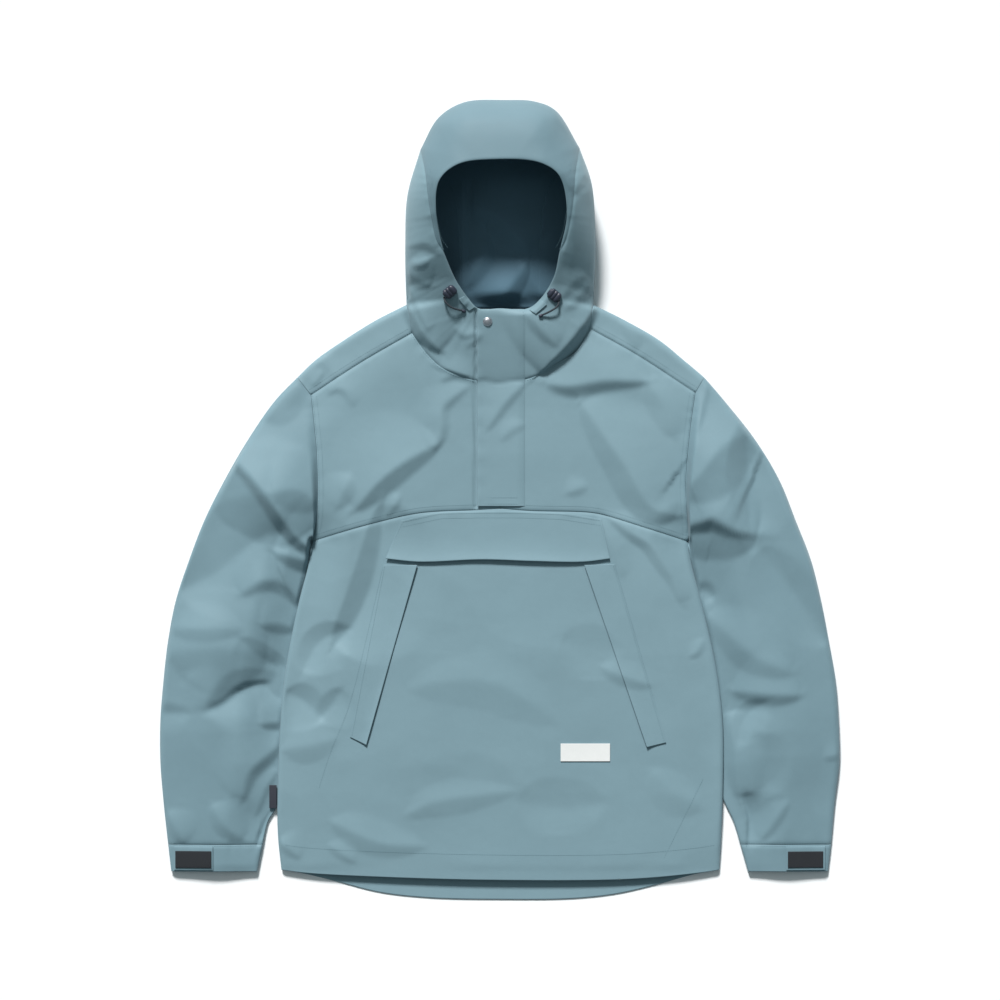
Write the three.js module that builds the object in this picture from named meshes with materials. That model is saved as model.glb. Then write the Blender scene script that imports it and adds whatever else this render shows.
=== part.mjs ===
// A hooded anorak pullover laid flat on its back: arms down, hood propped open, front facing up.
// Millimetres. +Y runs from the hem to the hood, +Z is up. Left (-X) and right (+X) are as seen from
// above, so +X is the side of the wearer's left hand.
// The origin is on the surface that the back rests on, under the middle of the garment.
import * as THREE from "three";

// Driving sizes
const CLOTH = 1.4; // thickness of a cloth wall, turned seam allowances included
const ARMPIT_THIN = 0.1; // share of a wall's thickness that is left at the armpit
const SEAM_PULL = 0.23; // each panel stops this far short of the line where it is sewn
const SKIN_GAP = 0.3; // between a panel and what is sewn on top of it
const BODY_HALF_WIDTH = 285;
const ARMHOLE_X = 244;
const ARMPIT_Y = -54;
const HOOD_TOP_Y = 514;
const NECK_BACK_Y = 248; // back neck seam, lying on the surface
const NECK_FRONT_Y = 151; // front neck seam on the centre line
const COLLAR_TOP_Y = 247;
const COLLAR_TOP_Z = 36;
const CHEST_SEAM_Y = -11; // on the centre line
const BRIM_Z = 110; // the hood's edge above the forehead
const PLACKET = { left: -29, right: 32, bottom: -8, thick: 1.5 };
const FLAP_THICK = 1.6;
const WELT_THICK = 1.5;
const LABEL = { x: 110.5, y: -327, width: 64, height: 23, thick: 1 };
const SIDE_TAB = { x: -294.6, y: -385, z: 6.3, width: 9.4, height: 30, thick: 1.6 };
const SNAP = { x: -16, y: 230, radius: 6, height: 2.4 };
const CUFF_SEAM_Y = -447;
const CUFF_END_Y = -482;
const SLEEVE_SEAM_SHARE = 0.86; // place of the armhole's top end across the sleeve, 0 at its inner edge
const TAB_THICK = 1.5;
const GRIP_THICK = 1;
const LOCK = { length: 18, width: 14, height: 8, bevel: 1.5 };
const LOOP_THICK = 1.2; // the strips of cloth that hold the cord locks
const CORD_RADIUS = 1.25;
const CORD_LIFT = 4; // how high the free end arches over the collar
const CORD_TIP = { radius: 2, length: 5 };

const CLOTH_COLOUR = 0x84a3ad;
const SHADE_COLOUR = 0x7897a2;
const DARK_COLOUR = 0x33363a;
const METAL_COLOUR = 0xbcbcc4;
const LABEL_COLOUR = 0xeeeeec;

// How many steps each seam is divided into, so that both panels on it share its points
const SLEEVE_STEPS = 18;
const SLEEVE_FINE_STEPS = 200; // for cutting a sleeve's edge off at the cuff
const SIDE_STEPS = 13;
const HOOD_SIDE_STEPS = 8;
const HOOD_TOP_STEPS = 12;
const HOOD_RISE_STEPS = 6;

// Distances along a seam as shares of its length, closer together where the cloth rolls over
const ARMHOLE_SHARES = [0, 0.03, 0.1, 0.22, 0.36, 0.5, 0.66, 0.82, 1];
const FOLD_SHARES = [0, 0.45, 0.8, 1];
const CHEST_SHARES = [0, 0.02, 0.07, 0.16, 0.26, 0.36, 0.46, 0.56, 0.66, 0.76, 0.85, 0.93, 1];
const SHOULDER_SHARES = [0, 0.2, 0.4, 0.6, 0.8, 1];
const NECK_SHARES = [0, 0.1, 0.22, 0.36, 0.5, 0.66, 0.83, 1];

// Outline of the body and the sleeves.
// edge: height at which the wall turns from the front to the back; shelf: height just inside that turn
const OUTER_EDGE = {
  left: [
    { x: -121, y: 253, edge: 12, shelf: 18 },
    { x: -161, y: 233, edge: 9, shelf: 15 },
    { x: -203, y: 207, edge: 7, shelf: 13 },
    { x: -240, y: 181, edge: 6, shelf: 12 },
    { x: -263, y: 159, edge: 5.5, shelf: 12 },
    { x: -292, y: 129, edge: 5, shelf: 11 },
    { x: -328, y: 77, edge: 5, shelf: 11 },
    { x: -358, y: 25, edge: 5, shelf: 11 },
    { x: -384, y: -27, edge: 5, shelf: 11 },
    { x: -404, y: -79, edge: 5, shelf: 11 },
    { x: -421, y: -131, edge: 5, shelf: 11 },
    { x: -431, y: -183, edge: 5, shelf: 11 },
    { x: -437, y: -235, edge: 5, shelf: 11 },
    { x: -441, y: -287, edge: 5, shelf: 11 },
    { x: -441, y: -339, edge: 5, shelf: 10 },
    { x: -437, y: -391, edge: 4.5, shelf: 9 },
    { x: -431, y: -447, edge: 4, shelf: 8 },
    { x: -427, y: -482, edge: 3.8, shelf: 7.6 },
  ],
  right: [
    { x: 121, y: 253, edge: 12, shelf: 18 },
    { x: 162, y: 233, edge: 9, shelf: 15 },
    { x: 207, y: 207, edge: 7, shelf: 13 },
    { x: 239, y: 181, edge: 6, shelf: 12 },
    { x: 265, y: 159, edge: 5.5, shelf: 12 },
    { x: 291, y: 129, edge: 5, shelf: 11 },
    { x: 332, y: 77, edge: 5, shelf: 11 },
    { x: 363, y: 25, edge: 5, shelf: 11 },
    { x: 384, y: -27, edge: 5, shelf: 11 },
    { x: 404, y: -79, edge: 5, shelf: 11 },
    { x: 417, y: -131, edge: 5, shelf: 11 },
    { x: 427, y: -183, edge: 5, shelf: 11 },
    { x: 436, y: -235, edge: 5, shelf: 11 },
    { x: 440, y: -287, edge: 5, shelf: 11 },
    { x: 441, y: -339, edge: 5, shelf: 10 },
    { x: 435, y: -391, edge: 4.5, shelf: 9 },
    { x: 430, y: -447, edge: 4, shelf: 8 },
    { x: 426, y: -482, edge: 3.8, shelf: 7.6 },
  ],
};
const SHOULDER_POINT = 4; // row of OUTER_EDGE where the armhole crosses the fold

const SIDE_EDGE = {
  left: [
    { x: -284, y: -480, edge: 3.5, shelf: 6.5 },
    { x: -288, y: -440, edge: 5.5, shelf: 9 },
    { x: -289, y: -401, edge: 7, shelf: 11.5 },
    { x: -285, y: -287, edge: 7, shelf: 11.5 },
    { x: -278, y: -218, edge: 7, shelf: 11.5 },
    { x: -261, y: -132, edge: 7, shelf: 11.5 },
    { x: -249, y: -85, edge: 6, shelf: 10 },
    { x: -244, y: -54, edge: 4.5, shelf: 8.5 },
  ],
  right: [
    { x: 285, y: -480, edge: 3.5, shelf: 6.5 },
    { x: 287, y: -440, edge: 5.5, shelf: 9 },
    { x: 289, y: -387, edge: 7, shelf: 11.5 },
    { x: 289, y: -287, edge: 7, shelf: 11.5 },
    { x: 279, y: -209, edge: 7, shelf: 11.5 },
    { x: 258, y: -120, edge: 7, shelf: 11.5 },
    { x: 248, y: -80, edge: 6, shelf: 10 },
    { x: 244, y: -54, edge: 4.5, shelf: 8.5 },
  ],
};

// The sleeve's inner edge, flat under the side of the body down to where a gap opens above the cuff
const INNER_EDGE = {
  left: [
    { x: -244, y: -54, edge: 4.5, shelf: 8.5 },
    { x: -249.4, y: -80, edge: 3.2, shelf: 6 },
    { x: -255, y: -105, edge: 2.2, shelf: 4.4 },
    { x: -259.5, y: -132, edge: 2, shelf: 4 },
    { x: -276, y: -218, edge: 2, shelf: 4 },
    { x: -283, y: -287, edge: 2, shelf: 4 },
    { x: -287, y: -385, edge: 2, shelf: 4 },
    { x: -292, y: -402, edge: 2.2, shelf: 4.4 },
    { x: -301, y: -417, edge: 2.5, shelf: 5 },
    { x: -308, y: -447, edge: 3.2, shelf: 7 },
    { x: -315, y: -482, edge: 3.4, shelf: 7.2 },
  ],
  right: [
    { x: 244, y: -54, edge: 4.5, shelf: 8.5 },
    { x: 249.2, y: -80, edge: 3.2, shelf: 6 },
    { x: 255.3, y: -105, edge: 2.2, shelf: 4.4 },
    { x: 260.5, y: -132, edge: 2, shelf: 4 },
    { x: 277, y: -209, edge: 2, shelf: 4 },
    { x: 287, y: -287, edge: 2, shelf: 4 },
    { x: 287, y: -380, edge: 2, shelf: 4 },
    { x: 293, y: -396, edge: 2.2, shelf: 4.4 },
    { x: 303, y: -417, edge: 2.5, shelf: 5 },
    { x: 312, y: -447, edge: 3.2, shelf: 7 },
    { x: 322, y: -482, edge: 3.4, shelf: 7.2 },
  ],
};

// How each kind of edge rounds over: turn is the width of the tight roll on top, rise the width of
// the soft slope up to the crown, under the width of the roll below
const ROLL = {
  outer: { turn: 8, rise: 48, under: 10 },
  side: { turn: 6, rise: 55, under: 14 },
  inner: { turn: 2, rise: 60, under: 2.4 },
};

// Crown height of the front over the surface, by distance up the garment
const BODY_CROWN = [
  { y: -495, z: 10 },
  { y: -470, z: 11 },
  { y: -380, z: 14.5 },
  { y: -200, z: 18.5 },
  { y: 0, z: 19 },
  { y: 120, z: 19.5 },
  { y: 260, z: 23 },
];
const SLEEVE_CROWN = [
  { y: -485, z: 11 },
  { y: -447, z: 11.5 },
  { y: -400, z: 15 },
  { y: -300, z: 20 },
  { y: 0, z: 22 },
  { y: 160, z: 19.5 },
];

const ARMHOLE = {
  left: [
    { x: -244, y: -54 },
    { x: -237, y: -20 },
    { x: -237, y: 55 },
    { x: -241, y: 100 },
    { x: -245, y: 136 },
  ],
  right: [
    { x: 244, y: -54 },
    { x: 243, y: -28 },
    { x: 240, y: 15 },
    { x: 246, y: 90 },
    { x: 253, y: 139 },
  ],
};
const SHOULDER_SEAM = {
  left: [
    { x: -245, y: 136 },
    { x: -182, y: 177 },
    { x: -114, y: 216 },
  ],
  right: [
    { x: 253, y: 139 },
    { x: 179, y: 187 },
    { x: 116, y: 222 },
  ],
};
// From the shoulder seam down to the centre line
const NECK_SEAM = {
  left: [
    { x: -114, y: 216 },
    { x: -97, y: 192 },
    { x: -75, y: 171 },
    { x: -42, y: 157 },
    { x: 0, y: NECK_FRONT_Y },
  ],
  right: [
    { x: 116, y: 222 },
    { x: 99, y: 193 },
    { x: 68, y: 173 },
    { x: 40, y: 158 },
    { x: 0, y: NECK_FRONT_Y },
  ],
};
const CHEST_SEAM = {
  left: [
    { x: -ARMHOLE_X, y: ARMPIT_Y },
    { x: -235, y: -51 },
    { x: -170, y: -32 },
    { x: -103, y: -17 },
    { x: -31, y: -13 },
    { x: 0, y: CHEST_SEAM_Y },
  ],
  right: [
    { x: ARMHOLE_X, y: ARMPIT_Y },
    { x: 185, y: -35 },
    { x: 132, y: -19 },
    { x: 112, y: -16 },
    { x: 39, y: -14 },
    { x: 0, y: CHEST_SEAM_Y },
  ],
};
const FRONT_HEM = [
  { x: -284, y: -480 },
  { x: -252, y: -484 },
  { x: -157, y: -489 },
  { x: -12, y: -493 },
  { x: 166, y: -492 },
  { x: 258, y: -484 },
  { x: 285, y: -480 },
];
const BACK_HEM = [
  { x: -284, y: -480 },
  { x: -252, y: -486 },
  { x: -211, y: -496 },
  { x: -155, y: -510 },
  { x: -90, y: -517 },
  { x: 1, y: -519 },
  { x: 92, y: -518 },
  { x: 150, y: -512 },
  { x: 203, y: -500 },
  { x: 250, y: -487 },
  { x: 285, y: -480 },
];

// The hood's edge round the face, from the collar's middle up one side to the side seam
const FACE_EDGE_LOW = {
  left: [
    { x: 0, y: COLLAR_TOP_Y, z: COLLAR_TOP_Z },
    { x: -28, y: 247, z: 37 },
    { x: -41, y: 260, z: 42 },
    { x: -57, y: 283, z: 54 },
    { x: -72, y: 317, z: 72 },
  ],
  right: [
    { x: 0, y: COLLAR_TOP_Y, z: COLLAR_TOP_Z },
    { x: 36, y: 247, z: 37 },
    { x: 52, y: 259, z: 43 },
    { x: 69, y: 286, z: 57 },
    { x: 76, y: 317, z: 72 },
  ],
};
// The same edge over the forehead, from side seam to side seam
const FACE_EDGE_TOP = [
  { x: -72, y: 317, z: 72 },
  { x: -81, y: 364, z: 90 },
  { x: -77, y: 405, z: 102 },
  { x: -53, y: 425, z: 108 },
  { x: -4, y: 431, z: BRIM_Z },
  { x: 50, y: 427, z: 109 },
  { x: 75, y: 411, z: 104 },
  { x: 85, y: 364, z: 90 },
  { x: 76, y: 317, z: 72 },
];
// The hood's outline. dome: how much the wall bulges between the outline and the face edge, 0 to 1
const HOOD_OUTLINE_SIDE = {
  left: [
    { x: -121, y: 253, z: 12 },
    { x: -122, y: 290, z: 27 },
    { x: -122, y: 328, z: 38 },
    { x: -119, y: 391, z: 46 },
    { x: -102, y: 450, z: 50 },
  ],
  right: [
    { x: 121, y: 253, z: 12 },
    { x: 122, y: 290, z: 27 },
    { x: 123, y: 328, z: 38 },
    { x: 118, y: 405, z: 47 },
    { x: 102, y: 452, z: 50 },
  ],
};
const HOOD_OUTLINE_TOP = [
  { x: -102, y: 450, z: 50 },
  { x: -79, y: 491, z: 48 },
  { x: -46, y: 511, z: 46 },
  { x: 6, y: HOOD_TOP_Y, z: 45 },
  { x: 45, y: 512, z: 45 },
  { x: 72, y: 500, z: 46 },
  { x: 102, y: 452, z: 50 },
];
const HOOD_SEAM_FRONT = {
  left: [
    { x: -72, y: 317 },
    { x: -81, y: 331 },
    { x: -88, y: 362 },
    { x: -92, y: 388 },
    { x: -95, y: 415 },
    { x: -102, y: 450 },
  ],
  right: [
    { x: 76, y: 317 },
    { x: 84, y: 331 },
    { x: 91, y: 362 },
    { x: 94, y: 388 },
    { x: 96, y: 415 },
    { x: 102, y: 452 },
  ],
};
const HOOD_SEAM_BACK_X = 50;
const HOOD_TURN_UNDER = 16; // how far in the hood's back meets the surface
const HOOD_MIDDLE = new THREE.Vector3(0, 370, 30);
const HOOD_DOME = { side: 0.62, top: 0.9, collar: 0.15 };

// Largest folds on the front and the sleeves, as troughs with a ridge on one side.
// The line runs through a, b and c; half: half width; deep: depth; ridge: +1 left of the line, -1 right of it
const FOLDS = [
  { a: [-49, 148], b: [-80, 71], c: [-184, -6], half: 13, deep: 5, ridge: 1 },
  { a: [116, 90], b: [145, 42], c: [211, -19], half: 13, deep: 4, ridge: 1 },
  { a: [62, 149], b: [110, 138], c: [183, 142], half: 11, deep: 3.5, ridge: 1 },
  { a: [240, -33], b: [275, -36], c: [321, -58], half: 13, deep: 6, ridge: 1 },
  { a: [321, 86], b: [312, 25], c: [318, -40], half: 14, deep: 3.5, ridge: -1 },
  { a: [293, -189], b: [335, -200], c: [382, -224], half: 13, deep: 4.5, ridge: 1 },
  { a: [382, -253], b: [318, -280], c: [298, -379], half: 14, deep: 5, ridge: -1 },
  { a: [-344, 52], b: [-292, 0], c: [-250, -58], half: 13, deep: 5.5, ridge: 1 },
  { a: [-409, -115], b: [-350, -78], c: [-284, -42], half: 15, deep: 4, ridge: 1 },
  { a: [-384, -268], b: [-330, -240], c: [-290, -222], half: 14, deep: 5.5, ridge: 1 },
  { a: [-345, -165], b: [-318, -190], c: [-296, -215], half: 13, deep: 4, ridge: 1 },
  { a: [-331, -384], b: [-319, -349], c: [-297, -319], half: 13, deep: 3.5, ridge: 1 },
  { a: [-148, -24], b: [-180, -115], c: [-231, -192], half: 15, deep: 4, ridge: 1 },
  { a: [145, -29], b: [198, -67], c: [227, -125], half: 14, deep: 4, ridge: -1 },
  { a: [-216, -421], b: [-159, -440], c: [-95, -448], half: 14, deep: 2.5, ridge: 1 },
  { a: [-117, -406], b: [-60, -386], c: [20, -379], half: 14, deep: 3, ridge: 1 },
  { a: [-109, -241], b: [-6, -237], c: [70, -280], half: 16, deep: 3, ridge: 1 },
];
const RIDGE_SHARE = 0.45; // height of the ridge as a share of the trough's depth
const FOLD_FREE = 26; // folds fade out over this distance from an edge or the hem
const FOLD_REACH = 4; // half widths past which a fold no longer shows
const CROWN_SIDE_DROP = 2.5; // how much lower the body's crown is at its sides
const SLEEVE_BLEND = 70; // width over which the body's crown passes into the sleeve's

// Curves and tables
const point = ({ x, y, z = 0 }) => new THREE.Vector3(x, y, z);

// Points along the smooth curve through rows, at the given shares of its length
function along(rows, shares) {
  const curve = new THREE.CatmullRomCurve3(rows.map(point), false, "centripetal");
  return shares.map((s) => curve.getPointAt(s));
}
const steps = (count) => Array.from({ length: count + 1 }, (_, i) => i / count);
const joined = (...runs) => runs.flatMap((run, i) => (i ? run.slice(1) : run));
const reversed = (run) => [...run].reverse();

function fromTable(rows, y) {
  const next = rows.findIndex((row) => row.y >= y);
  if (next <= 0) return rows[next === 0 ? 0 : rows.length - 1].z;
  const [a, b] = [rows[next - 1], rows[next]];
  return THREE.MathUtils.lerp(a.z, b.z, (y - a.y) / (b.y - a.y));
}

// The nearest place on a polyline: distance, side, share of its length and blended columns
function nearest(line, x, y, columns = []) {
  let best = { distance: Infinity };
  for (let i = 0; i + 1 < line.length; i++) {
    const [a, b] = [line[i], line[i + 1]];
    const [dx, dy] = [b.x - a.x, b.y - a.y];
    const t = THREE.MathUtils.clamp(
      ((x - a.x) * dx + (y - a.y) * dy) / (dx * dx + dy * dy), 0, 1);
    const distance = Math.hypot(x - a.x - t * dx, y - a.y - t * dy);
    if (distance < best.distance) {
      const side = Math.sign(dx * (y - a.y) - dy * (x - a.x)) || 1;
      best = { distance, side, share: (i + t) / (line.length - 1) };
      for (const c of columns) best[c] = THREE.MathUtils.lerp(a[c], b[c], t);
    }
  }
  return best;
}

// The same rows with points of a smooth curve between them, so that distances to it have no kinks
function smoothed(rows, columns = [], fine = 4) {
  const shares = steps((rows.length - 1) * fine);
  const curve = new THREE.CatmullRomCurve3(rows.map(point), false, "centripetal");
  return shares.map((s) => {
    const spot = curve.getPoint(s);
    const place = s * (rows.length - 1);
    const i = Math.min(Math.floor(place), rows.length - 2);
    const row = { x: spot.x, y: spot.y };
    for (const c of columns) row[c] = THREE.MathUtils.lerp(rows[i][c], rows[i + 1][c], place - i);
    return row;
  });
}

const roundOver = (t) => (t >= 1 ? 1 : Math.sqrt(1 - (1 - t) ** 2));
const ease = (t) => (t >= 1 ? 1 : t * t * (3 - 2 * t));

// Heights of the front and the back of the body and sleeves
const EDGES = {};
for (const side of ["left", "right"]) {
  const outer = smoothed(OUTER_EDGE[side], ["edge", "shelf"]);
  const flank = smoothed(SIDE_EDGE[side], ["edge", "shelf"]);
  const inner = smoothed(INNER_EDGE[side], ["edge", "shelf"]);
  EDGES["body_" + side] = [{ line: outer, ...ROLL.outer }, { line: flank, ...ROLL.side }];
  EDGES["sleeve_" + side] = [{ line: outer, ...ROLL.outer }, { line: inner, ...ROLL.inner }];
}
const FOLD_LINES = FOLDS.map((fold) => ({
  ...fold,
  line: smoothed([fold.a, fold.b, fold.c].map(([x, y]) => ({ x, y })), [], 6),
}));

function foldDepth(x, y) {
  let sum = 0;
  for (const { line, half, deep, ridge } of FOLD_LINES) {
    const { distance, side, share } = nearest(line, x, y);
    if (distance > FOLD_REACH * half) continue;
    const across = (distance * side * ridge) / half;
    const fade = Math.sqrt(Math.sin(Math.PI * THREE.MathUtils.clamp(share, 0.02, 0.98)));
    const trough = Math.exp(-across * across);
    const crest = RIDGE_SHARE * Math.exp(-((across - 1.7) ** 2));
    sum += deep * fade * (crest - trough);
  }
  return sum;
}

function frontHeight(part, x, y) {
  const sleeve = part.startsWith("sleeve");
  const body = fromTable(BODY_CROWN, y) - CROWN_SIDE_DROP * (x / BODY_HALF_WIDTH) ** 2;
  const blend = sleeve ? ease(Math.max(0, Math.abs(x) - ARMHOLE_X) / SLEEVE_BLEND) : 0;
  const crown = THREE.MathUtils.lerp(body, fromTable(SLEEVE_CROWN, y), blend);
  let height = crown;
  let free = FOLD_FREE;
  for (const { line, turn, rise } of EDGES[part]) {
    const { distance, edge, shelf } = nearest(line, x, y, ["edge", "shelf"]);
    const low = Math.min(shelf, crown);
    height -= (low - edge) * (1 - roundOver(distance / turn));
    height -= (crown - low) * (1 - ease(distance / rise));
    free = Math.min(free, distance);
  }
  free = Math.min(free, Math.max(0, y - CUFF_END_Y));
  return height + foldDepth(x, y) * ease(free / FOLD_FREE);
}

function backHeight(part, x, y) {
  let height = 0;
  for (const { line, under } of EDGES[part]) {
    const { distance, edge } = nearest(line, x, y, ["edge"]);
    height += edge * (1 - roundOver(distance / under));
  }
  return height;
}

// Every panel's outer face is a grid of points. Panels sewn together share the points of their seam.
const points = [];
const pointIndex = new Map();
const faces = [];

function weld(p) {
  const key = [p.x, p.y, p.z].map((v) => Math.round(v * 500)).join();
  if (!pointIndex.has(key)) {
    pointIndex.set(key, points.length);
    points.push(p.clone());
  }
  return pointIndex.get(key);
}

// Adds a grid to a piece. facing: +1 for cloth that faces up, -1 down, or a point to face away from
function addGrid(piece, grid, facing) {
  const ids = grid.map((row) => row.map(weld));
  let turned = 0;
  const cells = [];
  for (let j = 0; j + 1 < ids.length; j++) {
    for (let i = 0; i + 1 < ids[j].length; i++) {
      const cell = [ids[j][i], ids[j][i + 1], ids[j + 1][i + 1], ids[j + 1][i]];
      const loop = cell.filter((id, k) => id !== cell[(k + 1) % 4]);
      if (loop.length < 3) continue;
      const [a, b, c] = loop.map((id) => points[id]);
      const normal = b.clone().sub(a).cross(c.clone().sub(a));
      turned += facing.isVector3 ? normal.dot(a.clone().sub(facing)) : normal.z * facing;
      cells.push(loop);
    }
  }
  for (const loop of cells) faces.push({ piece, loop: turned < 0 ? loop.reverse() : loop });
}

// A grid between four runs of points that meet at the corners; height gives z inside, in plan
function patch(south, north, west, east, height) {
  const lengths = (run) => {
    const sums = [0];
    for (let i = 1; i < run.length; i++) sums.push(sums[i - 1] + run[i].distanceTo(run[i - 1]));
    const whole = sums[sums.length - 1] || 1;
    return sums.map((s, i) => (sums[sums.length - 1] ? s / whole : i / (run.length - 1)));
  };
  const [su, nu, wv, ev] = [south, north, west, east].map(lengths);
  const [m, n] = [west.length - 1, south.length - 1];
  return west.map((_, j) => south.map((_, i) => {
    if (j === 0) return south[i];
    if (j === m) return north[i];
    if (i === 0) return west[j];
    if (i === n) return east[j];
    const spread = j / m;
    const u = THREE.MathUtils.lerp(su[i], nu[i], spread);
    const v = THREE.MathUtils.lerp(wv[j], ev[j], i / n);
    const p = new THREE.Vector3();
    p.addScaledVector(south[i], 1 - v).addScaledVector(north[i], v);
    p.addScaledVector(west[j], 1 - u).addScaledVector(east[j], u);
    p.addScaledVector(south[0], -(1 - u) * (1 - v)).addScaledVector(south[n], -u * (1 - v));
    p.addScaledVector(north[0], -(1 - u) * v).addScaledVector(north[n], -u * v);
    if (height) p.z = height(p.x, p.y);
    return p;
  }));
}

// A run of points set to the height of a face
const onFront = (part, run) => run.map((p) => p.clone().setZ(frontHeight(part, p.x, p.y)));
const onBack = (part, run) => run.map((p) => p.clone().setZ(backHeight(part, p.x, p.y)));
const heights = (face, part) => (x, y) => face(part, x, y);

// Seams of the body, each worked out once for both of its panels
const seams = {};
for (const side of ["left", "right"]) {
  const body = "body_" + side;
  const rows = OUTER_EDGE[side];
  const shoulderLine = along(rows.slice(0, SHOULDER_POINT + 1), SHOULDER_SHARES);
  const sleeveLine = along(rows.slice(SHOULDER_POINT), steps(SLEEVE_STEPS));
  const armhole = along(ARMHOLE[side], ARMHOLE_SHARES);
  const crossing = along(
    [ARMHOLE[side][ARMHOLE[side].length - 1], rows[SHOULDER_POINT]], FOLD_SHARES);
  const wholeArmhole = joined(armhole, crossing);
  seams[side] = {
    flank: onFront(body, along(SIDE_EDGE[side], steps(SIDE_STEPS))),
    armhole: onFront(body, armhole),
    crossing: onFront(body, crossing),
    armholeFront: onFront(body, wholeArmhole),
    armholeBack: onBack(body, wholeArmhole),
    shoulder: onFront(body, along(SHOULDER_SEAM[side], SHOULDER_SHARES)),
    shoulderLine: onFront(body, shoulderLine),
    neck: onFront(body, along(NECK_SEAM[side], NECK_SHARES)),
    chest: onFront(body, along(CHEST_SEAM[side], CHEST_SHARES)),
    outer: onFront("sleeve_" + side, sleeveLine),
    inner: onFront("sleeve_" + side, along(INNER_EDGE[side], steps(SLEEVE_STEPS))),
  };
}
// Both faces turn over at the same height, so one point ends the back and the front
for (const side of ["left", "right"]) {
  const s = seams[side];
  s.flank[s.flank.length - 1] = s.armhole[0];
  s.armholeFront[0] = s.armhole[0];
  s.armholeBack[0] = s.armhole[0];
  s.inner[0] = s.armhole[0];
  s.chest[0] = s.armhole[0];
  const turn = s.crossing[s.crossing.length - 1];
  s.armholeFront[s.armholeFront.length - 1] = turn;
  s.armholeBack[s.armholeBack.length - 1] = turn;
  s.outer[0] = turn;
  s.shoulderLine[s.shoulderLine.length - 1] = turn;
  s.shoulder[0] = s.armhole[s.armhole.length - 1];
  s.neck[0] = s.shoulder[s.shoulder.length - 1];
}
const centreFront = onFront("body_left", steps(ARMHOLE_SHARES.length - 1).map((t) =>
  new THREE.Vector3(0, THREE.MathUtils.lerp(CHEST_SEAM_Y, NECK_FRONT_Y, t), 0)));
for (const side of ["left", "right"]) {
  seams[side].chest[CHEST_SHARES.length - 1] = centreFront[0];
  seams[side].neck[NECK_SHARES.length - 1] = centreFront[centreFront.length - 1];
}

// Front above the chest seam, split on the centre line under the placket
for (const side of ["left", "right"]) {
  const s = seams[side];
  const grid = patch(
    s.chest, joined(s.shoulder, s.neck), s.armhole, centreFront,
    heights(frontHeight, "body_" + side));
  addGrid("front_upper_" + side, grid, 1);
}

// Front below the chest seam
const hemShares = joined(CHEST_SHARES.map((s) => s / 2), CHEST_SHARES.map((s) => 1 - s / 2).reverse());
const bodyFront = (x, y) => frontHeight(x < 0 ? "body_left" : "body_right", x, y);
const bodyBack = (x, y) => backHeight(x < 0 ? "body_left" : "body_right", x, y);
const frontHem = along(FRONT_HEM, hemShares).map((p) => p.setZ(bodyFront(p.x, p.y)));
frontHem[0] = seams.left.flank[0];
frontHem[frontHem.length - 1] = seams.right.flank[0];
addGrid("front_lower", patch(
  frontHem, joined(seams.left.chest, reversed(seams.right.chest)),
  seams.left.flank, seams.right.flank, bodyFront), 1);

// Back, in one piece from the tail of the hem up and over the shoulders to the shoulder seams
const NECK_TURN_SHARES = [0.35, 0.72, 1];
const BACK_NECK_STEPS = 6;
function neckTurn(side, sign) {
  const corner = seams[side].shoulderLine[0];
  const under = NECK_TURN_SHARES.map((t) => new THREE.Vector3(
    corner.x - sign * t * HOOD_TURN_UNDER,
    THREE.MathUtils.lerp(corner.y, NECK_BACK_Y, t),
    corner.z * (1 - roundOver(t))));
  return [corner, ...under];
}
const backNeck = { left: neckTurn("left", -1), right: neckTurn("right", 1) };
const backNeckFlat = steps(BACK_NECK_STEPS).map((t) => backNeck.left[3].clone().lerp(backNeck.right[3], t));
{
  const [l, r] = [seams.left, seams.right];
  const top = joined(
    reversed(l.shoulderLine), backNeck.left, backNeckFlat, reversed(backNeck.right), r.shoulderLine);
  const columns = top.length - 1;
  const hem = along(BACK_HEM, steps(columns)).map((p) => p.setZ(bodyBack(p.x, p.y)));
  hem[0] = l.flank[0];
  hem[columns] = r.flank[0];
  const grid = patch(hem, top, joined(l.flank, l.armholeBack), joined(r.flank, r.armholeBack), bodyBack);
  addGrid("back", grid, -1);
}
// Where the back laps over each shoulder fold to the shoulder seam. These strips and the under sides
// of the sleeves are cut in one with their neighbours and stand alone here, so that no hollow closes.
for (const side of ["left", "right"]) {
  const s = seams[side];
  const neckEnd = FOLD_SHARES.map((t) =>
    s.shoulder[s.shoulder.length - 1].clone().lerp(s.shoulderLine[0], t));
  const rise = onFront("body_" + side, neckEnd);
  rise[0] = s.shoulder[s.shoulder.length - 1];
  rise[rise.length - 1] = s.shoulderLine[0];
  s.neckRise = rise;
  addGrid("back_shoulder_" + side, patch(
    s.shoulder, reversed(s.shoulderLine), s.crossing, rise, heights(frontHeight, "body_" + side)), 1);
}

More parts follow.
